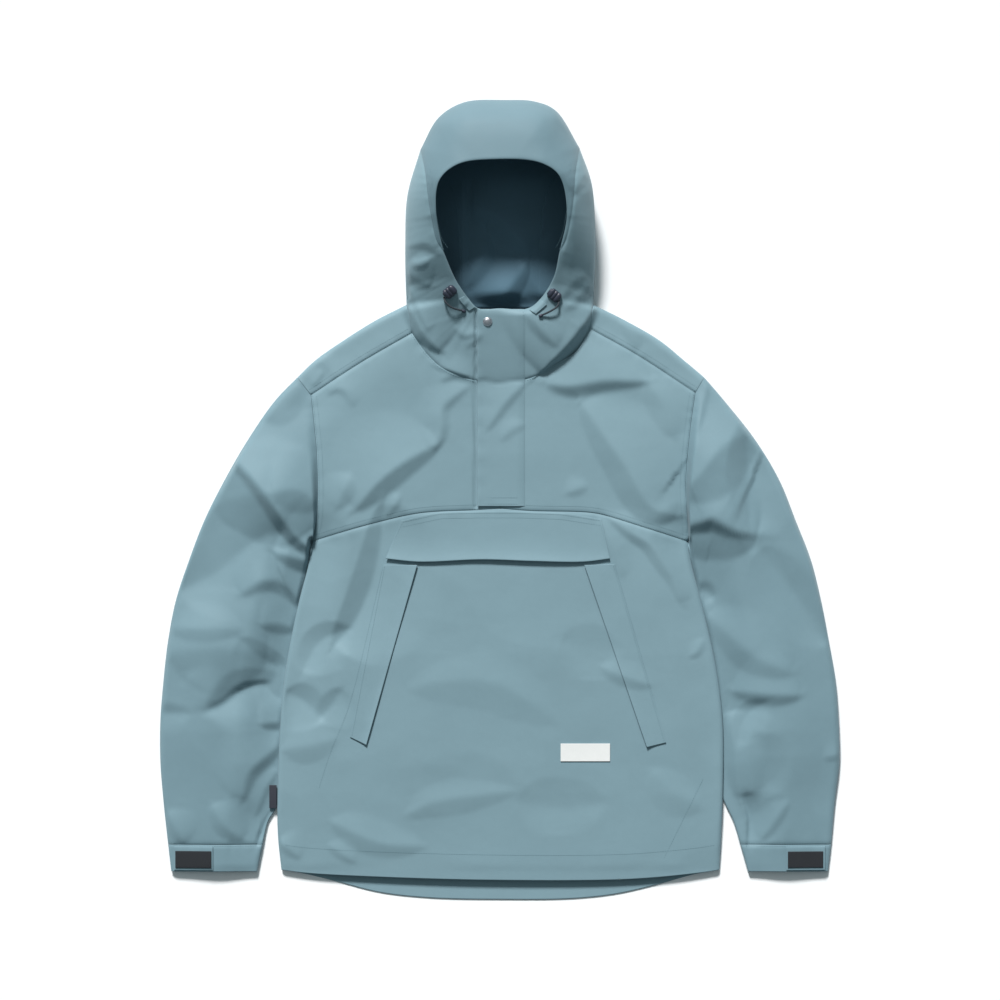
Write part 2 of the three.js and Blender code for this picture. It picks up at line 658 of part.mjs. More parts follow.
// Sleeves and cuffs: tubes from the armhole to the end of the cuff
for (const side of ["left", "right"]) {
  const s = seams[side];
  const part = "sleeve_" + side;
  const across = joined(
    ARMHOLE_SHARES.map((t) => t * SLEEVE_SEAM_SHARE),
    FOLD_SHARES.map((t) => THREE.MathUtils.lerp(SLEEVE_SEAM_SHARE, 1, t)));
  const end = SLEEVE_STEPS;
  // a run across the sleeve at one height of the garment
  const line = (y, face) => {
    const find = (rows) => {
      const k = rows.findIndex((row, i) => i && row.y <= y);
      const [a, b] = [rows[k - 1], rows[k]];
      const t = (y - a.y) / (b.y - a.y);
      const [x, z] = [THREE.MathUtils.lerp(a.x, b.x, t), THREE.MathUtils.lerp(a.edge, b.edge, t)];
      return new THREE.Vector3(x, y, z);
    };
    const [from, to] = [find(INNER_EDGE[side]), find(OUTER_EDGE[side])];
    const run = across.map((t) => from.clone().lerp(to, t));
    const set = face(part, run);
    set[0] = from;
    set[set.length - 1] = to;
    return set;
  };
  const above = (run, y) => along(run, steps(SLEEVE_FINE_STEPS)).filter((p) => p.y > y);
  const seamFront = line(CUFF_SEAM_Y, onFront);
  const seamBack = line(CUFF_SEAM_Y, onBack);
  const inner = [...above(s.inner, CUFF_SEAM_Y), seamFront[0]];
  const outer = [...above(s.outer, CUFF_SEAM_Y), seamFront[seamFront.length - 1]];
  const innerRun = along(inner, steps(end));
  const outerRun = along(outer, steps(end));
  innerRun[0] = s.inner[0];
  outerRun[0] = s.outer[0];
  innerRun[end] = seamFront[0];
  outerRun[end] = seamFront[seamFront.length - 1];
  addGrid(part, patch(seamFront, s.armholeFront, reversed(innerRun), reversed(outerRun),
    heights(frontHeight, part)), 1);
  addGrid("sleeve_under_" + side, patch(seamBack, s.armholeBack, reversed(innerRun), reversed(outerRun),
    heights(backHeight, part)), -1);
  s.folds = [innerRun.slice(1), outerRun];
  const mid = (CUFF_SEAM_Y + CUFF_END_Y) / 2;
  addGrid("cuff_" + side, [line(CUFF_END_Y, onFront), line(mid, onFront), seamFront], 1);
  addGrid("cuff_" + side, [line(CUFF_END_Y, onBack), line(mid, onBack), seamBack], -1);
}

// Hood: a middle strip from the brim over the top and down the back, and two sides with the collar
const collarLine = (side) => joined(reversed(seams[side].neck), seams[side].neckRise)
  .map(({ x, y, z }) => ({ x, y, z, dome: HOOD_DOME.collar }));
// The dome grows from the collar over this share of the outline's side
const DOME_GROWTH = 1 / 3;
const sideOutline = (side) => smoothed(HOOD_OUTLINE_SIDE[side], ["z"]).map((row, i, all) => ({
  ...row,
  dome: THREE.MathUtils.lerp(
    HOOD_DOME.collar, HOOD_DOME.side, Math.min(1, i / (all.length - 1) / DOME_GROWTH)),
}));
const topOutline = smoothed(HOOD_OUTLINE_TOP, ["z"]).map((row, i, all) => ({
  ...row,
  dome: THREE.MathUtils.lerp(
    HOOD_DOME.side, HOOD_DOME.top, Math.sin((Math.PI * i) / (all.length - 1))),
}));
// One closed loop of rows: up the left, over the top, down the right and along the neck seam
const outlineRows = joined(
  sideOutline("left"), topOutline, reversed(sideOutline("right")),
  reversed(collarLine("right")), collarLine("left"));
const faceEdge = joined(
  smoothed(FACE_EDGE_LOW.left, ["z"]), smoothed(FACE_EDGE_TOP, ["z"]),
  reversed(smoothed(FACE_EDGE_LOW.right, ["z"])));

function hoodHeight(x, y) {
  const out = nearest(outlineRows, x, y, ["z", "dome"]);
  const rim = nearest(faceEdge, x, y, ["z"]);
  const t = out.distance / (out.distance + rim.distance);
  const bulge = THREE.MathUtils.lerp(t, roundOver(t), out.dome);
  return THREE.MathUtils.lerp(out.z, rim.z, bulge);
}
const onHood = (run) => run.map((p) => p.clone().setZ(hoodHeight(p.x, p.y)));

// From a point of the outline down and inwards to the surface
const TURN_SHARES = [0.12, 0.4, 1];
function turnUnder(p, inwards) {
  return [p, ...TURN_SHARES.map((t) => p.clone()
    .addScaledVector(inwards, t * HOOD_TURN_UNDER)
    .setZ(p.z * (1 - roundOver(t))))];
}
function inwardsAlong(run) {
  return run.map((p, i) => {
    const before = run[Math.max(0, i - 1)];
    const after = run[Math.min(run.length - 1, i + 1)];
    const way = new THREE.Vector3(-(after.y - before.y), after.x - before.x, 0).normalize();
    const towards = HOOD_MIDDLE.clone().sub(p).setZ(0);
    return way.dot(towards) < 0 ? way.negate() : way;
  });
}
const hoodTop = along(HOOD_OUTLINE_TOP, steps(HOOD_TOP_STEPS));
const hoodTopIn = inwardsAlong(hoodTop);
const backSeamRuns = {};
for (const side of ["left", "right"]) {
  const s = seams[side];
  const sign = side === "left" ? -1 : 1;
  const outline = along(HOOD_OUTLINE_SIDE[side], steps(HOOD_SIDE_STEPS));
  outline[0] = s.shoulderLine[0];
  const last = HOOD_SIDE_STEPS;
  const crownEnd = side === "left" ? 0 : HOOD_TOP_STEPS;
  hoodTop[crownEnd] = outline[last];
  const neck = joined(reversed(s.neck), s.neckRise);
  const lowSteps = neck.length - 1;
  const rimLow = along(FACE_EDGE_LOW[side], steps(lowSteps));
  const seamFront = onHood(along(HOOD_SEAM_FRONT[side], steps(HOOD_SIDE_STEPS)));
  seamFront[0] = rimLow[lowSteps];
  seamFront[last] = outline[last];
  s.hoodSeam = seamFront;
  const foot = steps(HOOD_RISE_STEPS).map((t) => new THREE.Vector3(
    0, THREE.MathUtils.lerp(NECK_FRONT_Y, COLLAR_TOP_Y, t), 0));
  const collarFront = onHood(foot);
  collarFront[0] = neck[0];
  collarFront[HOOD_RISE_STEPS] = rimLow[0];
  const tip = steps(HOOD_RISE_STEPS).map(() => outline[last]);
  addGrid("hood_" + side, patch(
    joined(neck, outline), joined(rimLow, seamFront), collarFront, tip, hoodHeight), 1);

  const inwards = inwardsAlong(outline);
  inwards[last] = hoodTopIn[crownEnd];
  const turned = outline.map((p, i) => turnUnder(p, inwards[i]));
  turned[0] = backNeck[side];
  addGrid("hood_" + side, turned, HOOD_MIDDLE);
  const ground = turned.map((run) => run[3]);
  const backFoot = new THREE.Vector3(sign * HOOD_SEAM_BACK_X, NECK_BACK_Y, 0);
  const seamBack = along([
    backFoot,
    { x: sign * (HOOD_SEAM_BACK_X + 1), y: 330 },
    { x: sign * (HOOD_SEAM_BACK_X + 9), y: 395 },
    ground[last],
  ], steps(HOOD_SIDE_STEPS));
  seamBack[last] = ground[last];
  backSeamRuns[side] = seamBack;
  const footRun = steps(3).map((t) => ground[0].clone().lerp(backFoot, t));
  addGrid("hood_" + side, patch(footRun, steps(3).map(() => ground[last]), ground, seamBack, () => 0), -1);
}
{
  const rimTop = along(FACE_EDGE_TOP, steps(HOOD_TOP_STEPS));
  rimTop[0] = seams.left.hoodSeam[0];
  rimTop[HOOD_TOP_STEPS] = seams.right.hoodSeam[0];
  addGrid("hood_middle", patch(
    rimTop, hoodTop, seams.left.hoodSeam, seams.right.hoodSeam, hoodHeight), 1);
  const turned = hoodTop.map((p, i) => turnUnder(p, hoodTopIn[i]));
  addGrid("hood_middle", turned, HOOD_MIDDLE);
  const ground = turned.map((run) => run[3]);
  const foot = steps(HOOD_TOP_STEPS).map((t) =>
    backSeamRuns.left[0].clone().lerp(backSeamRuns.right[0], t));
  addGrid("hood_middle", patch(foot, ground, backSeamRuns.left, backSeamRuns.right, () => 0), -1);
}

// Walls: each piece's outer face, its inner face one cloth thickness in, and the cut edges between
const normals = points.map(() => new THREE.Vector3());
// At a fold between two pieces each cell counts alike, so that the fold is halved evenly
const onFold = new Set(["left", "right"].flatMap((side) => [
  ...seams[side].flank.slice(0, -1), ...seams[side].shoulderLine.slice(1), ...seams[side].folds.flat(),
].map(weld)));
for (const { loop } of faces) {
  const p = loop.map((id) => points[id]);
  const area = new THREE.Vector3();
  for (let i = 1; i + 1 < p.length; i++) {
    area.add(p[i].clone().sub(p[0]).cross(p[i + 1].clone().sub(p[0])));
  }
  const evenly = area.clone().normalize();
  for (const id of loop) normals[id].add(onFold.has(id) ? evenly : area);
}
for (const n of normals) n.normalize();
// Four panels meet at each armpit, so their walls thin out there
for (const side of ["left", "right"]) normals[weld(seams[side].armhole[0])].multiplyScalar(ARMPIT_THIN);

function solid(vertices, triangles) {
  const geometry = new THREE.BufferGeometry();
  geometry.setAttribute("position", new THREE.Float32BufferAttribute(vertices.flat(), 3));
  geometry.setIndex(triangles.flat());
  geometry.computeVertexNormals();
  return geometry;
}

// Splits a loop of three or four corners into triangles
const split = (loop) => loop.slice(2).map((_, i) => [loop[0], loop[i + 1], loop[i + 2]]);

function wall(loops, outer, inner) {
  const count = outer.length;
  const edges = new Map();
  for (const loop of loops) {
    loop.forEach((a, i) => {
      const b = loop[(i + 1) % loop.length];
      if (!edges.delete(b + "," + a)) edges.set(a + "," + b, [a, b]);
    });
  }
  const triangles = loops.flatMap((loop) => [
    ...split(loop),
    ...split(loop).map(([a, b, c]) => [a + count, c + count, b + count]),
  ]);
  for (const [a, b] of edges.values()) {
    triangles.push([b, a, a + count], [b, a + count, b + count]);
  }
  return solid([...outer, ...inner].map((p) => [p.x, p.y, p.z]), triangles);
}

const tops = new Map(); // each cloth piece's outer triangles, for what is sewn on it

function clothPiece(piece) {
  const own = faces.filter((face) => face.piece === piece);
  const ids = [...new Set(own.flatMap((face) => face.loop))];
  const local = new Map(ids.map((id, i) => [id, i]));
  const loops = own.map((face) => face.loop.map((id) => local.get(id)));
  const border = new Map();
  for (const loop of loops) {
    loop.forEach((a, i) => {
      const b = loop[(i + 1) % loop.length];
      if (!border.delete(b + "," + a)) border.set(a + "," + b, [a, b]);
    });
  }
  const onBorder = new Set([...border.values()].flat());
  const pull = ids.map(() => new THREE.Vector3());
  for (const loop of loops) {
    const middle = new THREE.Vector3();
    for (const k of loop) middle.add(points[ids[k]]);
    middle.divideScalar(loop.length);
    for (const k of loop) {
      if (onBorder.has(k)) pull[k].add(middle.clone().sub(points[ids[k]]).normalize());
    }
  }
  const outer = ids.map((id, k) => points[id].clone().addScaledVector(pull[k].normalize(), SEAM_PULL));
  outer.forEach((p) => p.setZ(Math.max(0, p.z)));
  const inner = outer.map((p, k) => p.clone().addScaledVector(normals[ids[k]], -CLOTH));
  tops.set(piece, loops.flatMap((loop) => split(loop).map((t) => t.map((k) => outer[k]))));
  return wall(loops, outer, inner);
}

// Height of the highest of the given pieces above a place, or null where none is
function heightOf(pieces, x, y) {
  let best = null;
  for (const piece of pieces) {
    for (const [a, b, c] of tops.get(piece)) {
      if (x < Math.min(a.x, b.x, c.x) - 1e-6 || x > Math.max(a.x, b.x, c.x) + 1e-6) continue;
      const whole = (b.x - a.x) * (c.y - a.y) - (c.x - a.x) * (b.y - a.y);
      if (Math.abs(whole) < 1e-6) continue;
      const v = ((x - a.x) * (c.y - a.y) - (c.x - a.x) * (y - a.y)) / whole;
      const w = ((b.x - a.x) * (y - a.y) - (x - a.x) * (b.y - a.y)) / whole;
      if (v < -1e-6 || w < -1e-6 || v + w > 1 + 1e-6) continue;
      const z = a.z + v * (b.z - a.z) + w * (c.z - a.z);
      if (best === null || z > best) best = z;
    }
  }
  return best;
}

// How much higher a cell has to be to clear the pieces under it by the gap
const SEATING_SAMPLES = steps(6);
const SEATING_ROUNDS = 16;
const SEATING_SHARE = 0.7;
function lackUnder(cell, carriers, gap) {
  // a cell's two triangles may lie below its blended surface by this much
  const bent = Math.abs(cell[0].z + cell[2].z - cell[1].z - cell[3].z) / 4;
  let lack = 0;
  for (const s of SEATING_SAMPLES) {
    for (const t of SEATING_SAMPLES) {
      const p = new THREE.Vector3();
      [(1 - s) * (1 - t), s * (1 - t), s * t, (1 - s) * t]
        .forEach((weight, k) => p.addScaledVector(cell[k], weight));
      const ground = heightOf(carriers, p.x, p.y);
      if (ground !== null) lack = Math.max(lack, ground + gap + bent - p.z);
    }
  }
  return lack;
}

// A flat strip or panel laid on other pieces: corners in plan, with the counts of steps each way
function skin(name, carriers, south, north, across, up, thick, gap = SKIN_GAP) {
  const side = (t) => {
    const at = (run, u) => {
      const place = u * (run.length - 1);
      const i = Math.min(Math.floor(place), run.length - 2);
      return [0, 1].map((k) => THREE.MathUtils.lerp(run[i][k], run[i + 1][k], place - i));
    };
    return steps(across).map((u) => {
      const [a, b] = [at(south, u), at(north, u)];
      return new THREE.Vector3(
        THREE.MathUtils.lerp(a[0], b[0], t), THREE.MathUtils.lerp(a[1], b[1], t), 0);
    });
  };
  const grid = steps(up).map(side);
  for (const row of grid) for (const p of row) p.z = heightOf(carriers, p.x, p.y) ?? 0;
  for (let round = 0; round < SEATING_ROUNDS; round++) {
    const lacks = grid.map((row) => row.map(() => 0));
    for (let j = 0; j < up; j++) {
      for (let i = 0; i < across; i++) {
        const corners = [[j, i], [j, i + 1], [j + 1, i + 1], [j + 1, i]];
        const lack = lackUnder(corners.map(([r, c]) => grid[r][c]), carriers, gap);
        for (const [r, c] of corners) lacks[r][c] = Math.max(lacks[r][c], lack);
      }
    }
    grid.forEach((row, j) => row.forEach((p, i) => { p.z += lacks[j][i] * SEATING_SHARE; }));
  }
  const flat = grid.flat();
  const wide = across + 1;
  const loops = [];
  for (let j = 0; j < up; j++) {
    for (let i = 0; i < across; i++) {
      loops.push([j * wide + i, j * wide + i + 1, (j + 1) * wide + i + 1, (j + 1) * wide + i]);
    }
  }
  const above = flat.map((p) => p.clone().setZ(p.z + thick));
  tops.set(name, loops.flatMap((loop) => split(loop).map((t) => t.map((k) => above[k]))));
  return wall(loops, above, flat);
}

// A place on a piece, with the tilt of its surface: for buttons and cord locks
function seatOn(carriers, x, y, reach, turn, gap) {
  const at = (dx, dy) => heightOf(carriers, x + dx, y + dy) ?? heightOf(carriers, x, y);
  const slopeX = (at(reach, 0) - at(-reach, 0)) / (2 * reach);
  const slopeY = (at(0, reach) - at(0, -reach)) / (2 * reach);
  const up = new THREE.Vector3(-slopeX, -slopeY, 1).normalize();
  const ahead = new THREE.Vector3(Math.cos(turn), Math.sin(turn), 0);
  ahead.addScaledVector(up, -ahead.dot(up)).normalize();
  const basis = new THREE.Matrix4().makeBasis(ahead, up.clone().cross(ahead), up);
  const middle = new THREE.Vector3(x, y, at(0, 0));
  const underTilt = (dx, dy) => (up.x * dx + up.y * dy) / up.z;
  let lift = 0;
  for (let dx = -reach; dx <= reach; dx += reach / 6) {
    for (let dy = -reach; dy <= reach; dy += reach / 6) {
      if (Math.hypot(dx, dy) > reach) continue;
      const z = heightOf(carriers, x + dx, y + dy);
      if (z !== null) lift = Math.max(lift, (z - middle.z + underTilt(dx, dy)) * up.z);
    }
  }
  middle.addScaledVector(up, lift + gap);
  return basis.setPosition(middle);
}

// Scene
const anorak = new THREE.Group();
const finish = (color, roughness = 0.85, metalness = 0) =>
  new THREE.MeshStandardMaterial({ color, roughness, metalness });

function add(name, geometry, material) {
  const mesh = new THREE.Mesh(geometry, material);
  mesh.name = name;
  anorak.add(mesh);
  return mesh;
}

for (const piece of [
  "front_lower", "front_upper_left", "front_upper_right", "back", "back_shoulder_left",
  "back_shoulder_right", "sleeve_left", "sleeve_right", "sleeve_under_left", "sleeve_under_right",
  "cuff_left", "cuff_right", "hood_left", "hood_right", "hood_middle",
]) {
  add(piece, clothPiece(piece), finish(piece.startsWith("sleeve") ? SHADE_COLOUR : CLOTH_COLOUR));
}

const FRONT = ["front_lower", "front_upper_left", "front_upper_right"];
add("placket", skin(
  "placket", ["front_upper_left", "front_upper_right", "hood_left", "hood_right"],
  [[PLACKET.left, PLACKET.bottom], [PLACKET.right, PLACKET.bottom]],
  [[PLACKET.left, COLLAR_TOP_Y - 1], [PLACKET.right, COLLAR_TOP_Y - 1]],
  3, 14, PLACKET.thick), finish(CLOTH_COLOUR));

// Pocket flap across the chest seam, and the welts that cover the two slanted hand openings
add("pocket_flap", skin(
  "pocket_flap", FRONT,
  [[-148, -76], [-105, -80], [-23, -77], [41, -79], [107, -80], [142, -76]],
  [[-128, -27], [-77, -16], [-26, -15], [26, -15], [80, -17], [131, -25]],
  12, 3, FLAP_THICK), finish(CLOTH_COLOUR));
add("pocket_welt_left", skin(
  "pocket_welt_left", FRONT, [[-194, -307], [-173, -317]], [[-151, -84], [-107, -84]],
  3, 12, WELT_THICK), finish(CLOTH_COLOUR));
add("pocket_welt_right", skin(
  "pocket_welt_right", FRONT, [[190, -320], [215, -314]], [[109, -84], [148, -83]],
  3, 12, WELT_THICK), finish(CLOTH_COLOUR));

const box = ({ x, y, width, height }) => [
  [[x - width / 2, y - height / 2], [x + width / 2, y - height / 2]],
  [[x - width / 2, y + height / 2], [x + width / 2, y + height / 2]],
];
add("label", skin("label", FRONT, ...box(LABEL), 4, 2, LABEL.thick), finish(LABEL_COLOUR, 0.7));

const sideTab = new THREE.BoxGeometry(SIDE_TAB.width, SIDE_TAB.height, SIDE_TAB.thick);
add("side_tab", sideTab, finish(DARK_COLOUR, 0.8))
  .position.set(SIDE_TAB.x, SIDE_TAB.y, SIDE_TAB.z + SIDE_TAB.thick / 2);

// Cuff tabs with their hook-and-loop ends
const TABS = {
  left: { x: -397.5, y: -464.5, width: 51, height: 31, grip: { x: -397.5, y: -466, width: 47, height: 22 } },
  right: { x: 396.5, y: -464.5, width: 51, height: 31, grip: { x: 396, y: -466, width: 46, height: 21 } },
};
for (const side of ["left", "right"]) {
  const tab = TABS[side];
  add("cuff_tab_" + side, skin(
    "cuff_tab_" + side, ["cuff_" + side], ...box(tab), 4, 3, TAB_THICK), finish(CLOTH_COLOUR));
  add("cuff_grip_" + side, skin(
    "cuff_grip_" + side, ["cuff_tab_" + side], ...box(tab.grip), 4, 2, GRIP_THICK),
  finish(DARK_COLOUR, 0.95));
}

// Snap cap at the top of the placket
const snapOutline = [
  [0, 0], [SNAP.radius, 0], [SNAP.radius, 0.5], [SNAP.radius * 0.9, 1.1],
  [SNAP.radius * 0.82, SNAP.height * 0.7], [SNAP.radius * 0.5, SNAP.height], [0, SNAP.height],
].map(([r, h]) => new THREE.Vector2(r, h));
const snap = new THREE.LatheGeometry(snapOutline, 20).rotateX(Math.PI / 2);
add("snap_button", snap, finish(METAL_COLOUR, 0.35, 1))
  .applyMatrix4(seatOn(["placket"], SNAP.x, SNAP.y, SNAP.radius, 0, SKIN_GAP));

// Cord locks beside the face edge, the cloth loops that hold them, and each cord's free end with its tip
const LOCKS = {
  left: {
    x: -64, y: 269, turn: 0.75, route: [[-72, 260.5], [-70, 254.5], [-62, 247.5], [-48.5, 243.6]],
    loop: [[[-40, 243.5], [-32, 248]], [[-53, 258], [-46, 262]]],
  },
  right: {
    x: 69, y: 265, turn: -0.7, route: [[76.2, 256.6], [73.5, 248.5], [65, 242.5], [54, 237.5]],
    loop: [[[38, 244.5], [46, 239]], [[52, 257], [60, 251]]],
  },
};
const circle = (radius) => new THREE.Shape().absarc(0, 0, radius, 0, 2 * Math.PI);
for (const side of ["left", "right"]) {
  const lock = LOCKS[side];
  const hood = ["hood_" + side];
  add("lock_loop_" + side, skin(
    "lock_loop_" + side, hood, ...lock.loop, 2, 3, LOOP_THICK), finish(CLOTH_COLOUR));
  const outline = new THREE.Shape().absellipse(
    0, 0, LOCK.length / 2 - LOCK.bevel, LOCK.width / 2 - LOCK.bevel, 0, 2 * Math.PI);
  const body = new THREE.ExtrudeGeometry(outline, {
    depth: LOCK.height - 2 * LOCK.bevel, curveSegments: 6,
    bevelThickness: LOCK.bevel, bevelSize: LOCK.bevel, bevelSegments: 2,
  }).translate(0, 0, LOCK.bevel);
  add("cord_lock_" + side, body, finish(DARK_COLOUR, 0.6))
    .applyMatrix4(seatOn(hood, lock.x, lock.y, LOCK.length / 2, lock.turn, SKIN_GAP));

  const rest = CORD_TIP.radius + SKIN_GAP;
  const route = new THREE.CatmullRomCurve3(lock.route.map(([x, y], i) => new THREE.Vector3(
    x, y, heightOf(hood, x, y) + rest + CORD_LIFT * Math.sin((Math.PI * i) / (lock.route.length - 1)))));
  const cord = new THREE.ExtrudeGeometry(circle(CORD_RADIUS), {
    extrudePath: route, steps: 8, curveSegments: 8, bevelEnabled: false,
  });
  add("cord_" + side, cord, finish(DARK_COLOUR, 0.8));
  const tip = new THREE.CylinderGeometry(CORD_TIP.radius, CORD_TIP.radius * 0.8, CORD_TIP.length, 10);
  const way = route.getTangent(1).setZ(0).normalize();
  const middle = route.getPoint(1).addScaledVector(way, CORD_TIP.length / 2 + 2 * SKIN_GAP);
  const placed = add("cord_tip_" + side, tip, finish(DARK_COLOUR, 0.5));
  placed.quaternion.setFromUnitVectors(new THREE.Vector3(0, 1, 0), way);
  placed.position.copy(middle);
}

export default anorak;
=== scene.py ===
"""A hooded anorak pullover laid flat on its back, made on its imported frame. Lengths in the tables are in
millimetres, with +Y from the hem to the hood and +Z up. Left and right are as seen from above."""

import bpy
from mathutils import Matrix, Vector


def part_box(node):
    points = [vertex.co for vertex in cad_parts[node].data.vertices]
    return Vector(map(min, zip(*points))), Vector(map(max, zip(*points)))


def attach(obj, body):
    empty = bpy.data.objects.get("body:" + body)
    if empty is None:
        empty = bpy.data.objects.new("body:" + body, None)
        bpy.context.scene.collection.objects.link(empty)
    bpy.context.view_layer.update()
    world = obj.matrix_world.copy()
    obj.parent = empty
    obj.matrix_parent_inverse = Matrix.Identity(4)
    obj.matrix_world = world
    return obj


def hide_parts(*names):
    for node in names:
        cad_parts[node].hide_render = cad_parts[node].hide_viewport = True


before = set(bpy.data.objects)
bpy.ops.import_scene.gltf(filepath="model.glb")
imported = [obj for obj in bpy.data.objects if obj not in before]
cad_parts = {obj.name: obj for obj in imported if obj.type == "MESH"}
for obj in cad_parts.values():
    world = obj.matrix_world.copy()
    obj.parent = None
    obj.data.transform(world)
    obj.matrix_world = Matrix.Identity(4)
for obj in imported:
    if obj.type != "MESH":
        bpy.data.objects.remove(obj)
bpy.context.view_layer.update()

import math
from functools import partial

import bmesh
import bpy
import numpy as np
from bpy.props import FloatProperty, FloatVectorProperty, PointerProperty
from bpy.types import Operator, Panel, PropertyGroup
from mathutils import Matrix, Vector

bl_info = {
    "name": "Anorak pullover",
    "version": (1, 0, 0),
    "blender": (4, 5, 0),
    "location": "View3D > Sidebar > Anorak",
    "description": "Makes a hooded anorak pullover laid flat, piece by piece",
    "category": "Object",
}

MM = 0.001
SIDES = {"left": -1, "right": 1}

# Outline of the body and the sleeves: x, y, height of the turned edge, height just inside it
OUTER_EDGE = {
    "left": [
        (-121, 253, 12, 18), (-161, 233, 9, 15), (-203, 207, 7, 13), (-240, 181, 6, 12),
        (-263, 159, 5.5, 12), (-292, 129, 5, 11), (-328, 77, 5, 11), (-358, 25, 5, 11),
        (-384, -27, 5, 11), (-404, -79, 5, 11), (-421, -131, 5, 11), (-431, -183, 5, 11),
        (-437, -235, 5, 11), (-441, -287, 5, 11), (-441, -339, 5, 10), (-437, -391, 4.5, 9),
        (-431, -447, 4, 8), (-427, -482, 3.8, 7.6)],
    "right": [
        (121, 253, 12, 18), (162, 233, 9, 15), (207, 207, 7, 13), (239, 181, 6, 12),
        (265, 159, 5.5, 12), (291, 129, 5, 11), (332, 77, 5, 11), (363, 25, 5, 11),
        (384, -27, 5, 11), (404, -79, 5, 11), (417, -131, 5, 11), (427, -183, 5, 11),
        (436, -235, 5, 11), (440, -287, 5, 11), (441, -339, 5, 10), (435, -391, 4.5, 9),
        (430, -447, 4, 8), (426, -482, 3.8, 7.6)],
}
SHOULDER_POINT = 4  # row of OUTER_EDGE where the armhole crosses the fold
SIDE_EDGE = {
    "left": [
        (-284, -480, 3.5, 6.5), (-288, -440, 5.5, 9), (-289, -401, 7, 11.5), (-285, -287, 7, 11.5),
        (-278, -218, 7, 11.5), (-261, -132, 7, 11.5), (-249, -85, 6, 10), (-244, -54, 4.5, 8.5)],
    "right": [
        (285, -480, 3.5, 6.5), (287, -440, 5.5, 9), (289, -387, 7, 11.5), (289, -287, 7, 11.5),
        (279, -209, 7, 11.5), (258, -120, 7, 11.5), (248, -80, 6, 10), (244, -54, 4.5, 8.5)],
}
INNER_EDGE = {
    "left": [
        (-244, -54, 4.5, 8.5), (-247.6, -80, 3.2, 6), (-253.7, -105, 2.2, 4.4), (-259.5, -132, 2, 4),
        (-276, -218, 2, 4), (-283, -287, 2, 4), (-287, -385, 2, 4), (-292, -402, 2.2, 4.4),
        (-301, -417, 2.5, 5), (-308, -447, 3.2, 7), (-315, -482, 3.4, 7.2)],
    "right": [
        (244, -54, 4.5, 8.5), (247.6, -80, 3.2, 6), (253.7, -105, 2.2, 4.4), (259.5, -132, 2, 4),
        (277, -209, 2, 4), (287, -287, 2, 4), (287, -380, 2, 4), (293, -396, 2.2, 4.4),
        (303, -417, 2.5, 5), (312, -447, 3.2, 7), (322, -482, 3.4, 7.2)],
}
# How each kind of edge rounds over: width of the roll on top, of the slope above it, of the roll below
ROLL = {"outer": (8, 75, 10), "side": (6, 55, 14), "inner": (2, 60, 2.4)}
# Crown height by distance up the garment: y, z
BODY_CROWN = [(-495, 9), (-470, 10), (-380, 13.8), (-200, 19.3), (0, 19.5), (120, 19.5), (260, 23)]
SLEEVE_CROWN = [(-485, 11), (-447, 11.5), (-400, 15), (-300, 20), (0, 22), (160, 19.5)]
CROWN_SIDE_DROP, BODY_HALF_WIDTH, ARMHOLE_X, SLEEVE_BLEND = 2.5, 285, 244, 70

# Seams in plan
ARMHOLE = {
    "left": [(-244, -54), (-237, -20), (-237, 55), (-241, 100), (-245, 136)],
    "right": [(244, -54), (243, -28), (240, 15), (246, 90), (253, 139)],
}
SHOULDER_SEAM = {
    "left": [(-245, 136), (-182, 177), (-114, 216)],
    "right": [(253, 139), (179, 187), (116, 222)],
}
NECK_SEAM = {
    "left": [(-114, 216), (-97, 192), (-75, 171), (-42, 157), (0, 151)],
    "right": [(116, 222), (99, 193), (68, 173), (40, 158), (0, 151)],
}
CHEST_SEAM = {
    "left": [(-244, -54), (-235, -51), (-170, -32), (-103, -17), (-31, -13), (0, -11)],
    "right": [(244, -54), (185, -35), (132, -19), (112, -16), (39, -14), (0, -11)],
}
FRONT_HEM = [(-284, -480), (-252, -484), (-157, -489), (-12, -493), (166, -492), (258, -484), (285, -480)]
BACK_HEM = [
    (-284, -480), (-252, -486), (-211, -496), (-155, -510), (-90, -517), (1, -519), (92, -518),
    (150, -512), (203, -500), (250, -487), (285, -480)]
CUFF_SEAM_Y, CUFF_END_Y = -447, -482
NECK_BACK_Y = 248

# Hood: its edge round the face and its outline, x, y, z
FACE_EDGE_LOW = {
    "left": [(0, 247, 36), (-28, 247, 37), (-41, 260, 42), (-57, 283, 54), (-72, 317, 72)],
    "right": [(0, 247, 36), (36, 247, 37), (52, 259, 43), (69, 286, 57), (76, 317, 72)],
}
FACE_EDGE_TOP = [
    (-72, 317, 72), (-81, 364, 90), (-77, 405, 102), (-53, 425, 108), (-4, 431, 110), (50, 427, 109),
    (75, 411, 104), (85, 364, 90), (76, 317, 72)]
HOOD_OUTLINE_SIDE = {
    "left": [(-121, 253, 12), (-122, 290, 27), (-122, 328, 38), (-119, 391, 46), (-102, 450, 50)],
    "right": [(121, 253, 12), (122, 290, 27), (123, 328, 38), (118, 405, 47), (102, 452, 50)],
}
HOOD_OUTLINE_TOP = [
    (-102, 450, 50), (-79, 491, 48), (-46, 511, 46), (6, 514, 45), (45, 512, 45), (72, 500, 46),
    (102, 452, 50)]
HOOD_SEAM_FRONT = {
    "left": [(-72, 317), (-81, 331), (-88, 362), (-92, 388), (-95, 415), (-102, 450)],
    "right": [(76, 317), (84, 331), (91, 362), (94, 388), (96, 415), (102, 452)],
}
HOOD_SEAM_BACK_X, HOOD_SEAM_BACK = 50, [(1, 330), (9, 395)]
HOOD_TURN_UNDER = 16
HOOD_EDGE_PLAY = 0.15  # places this near the hood's outline count as on it
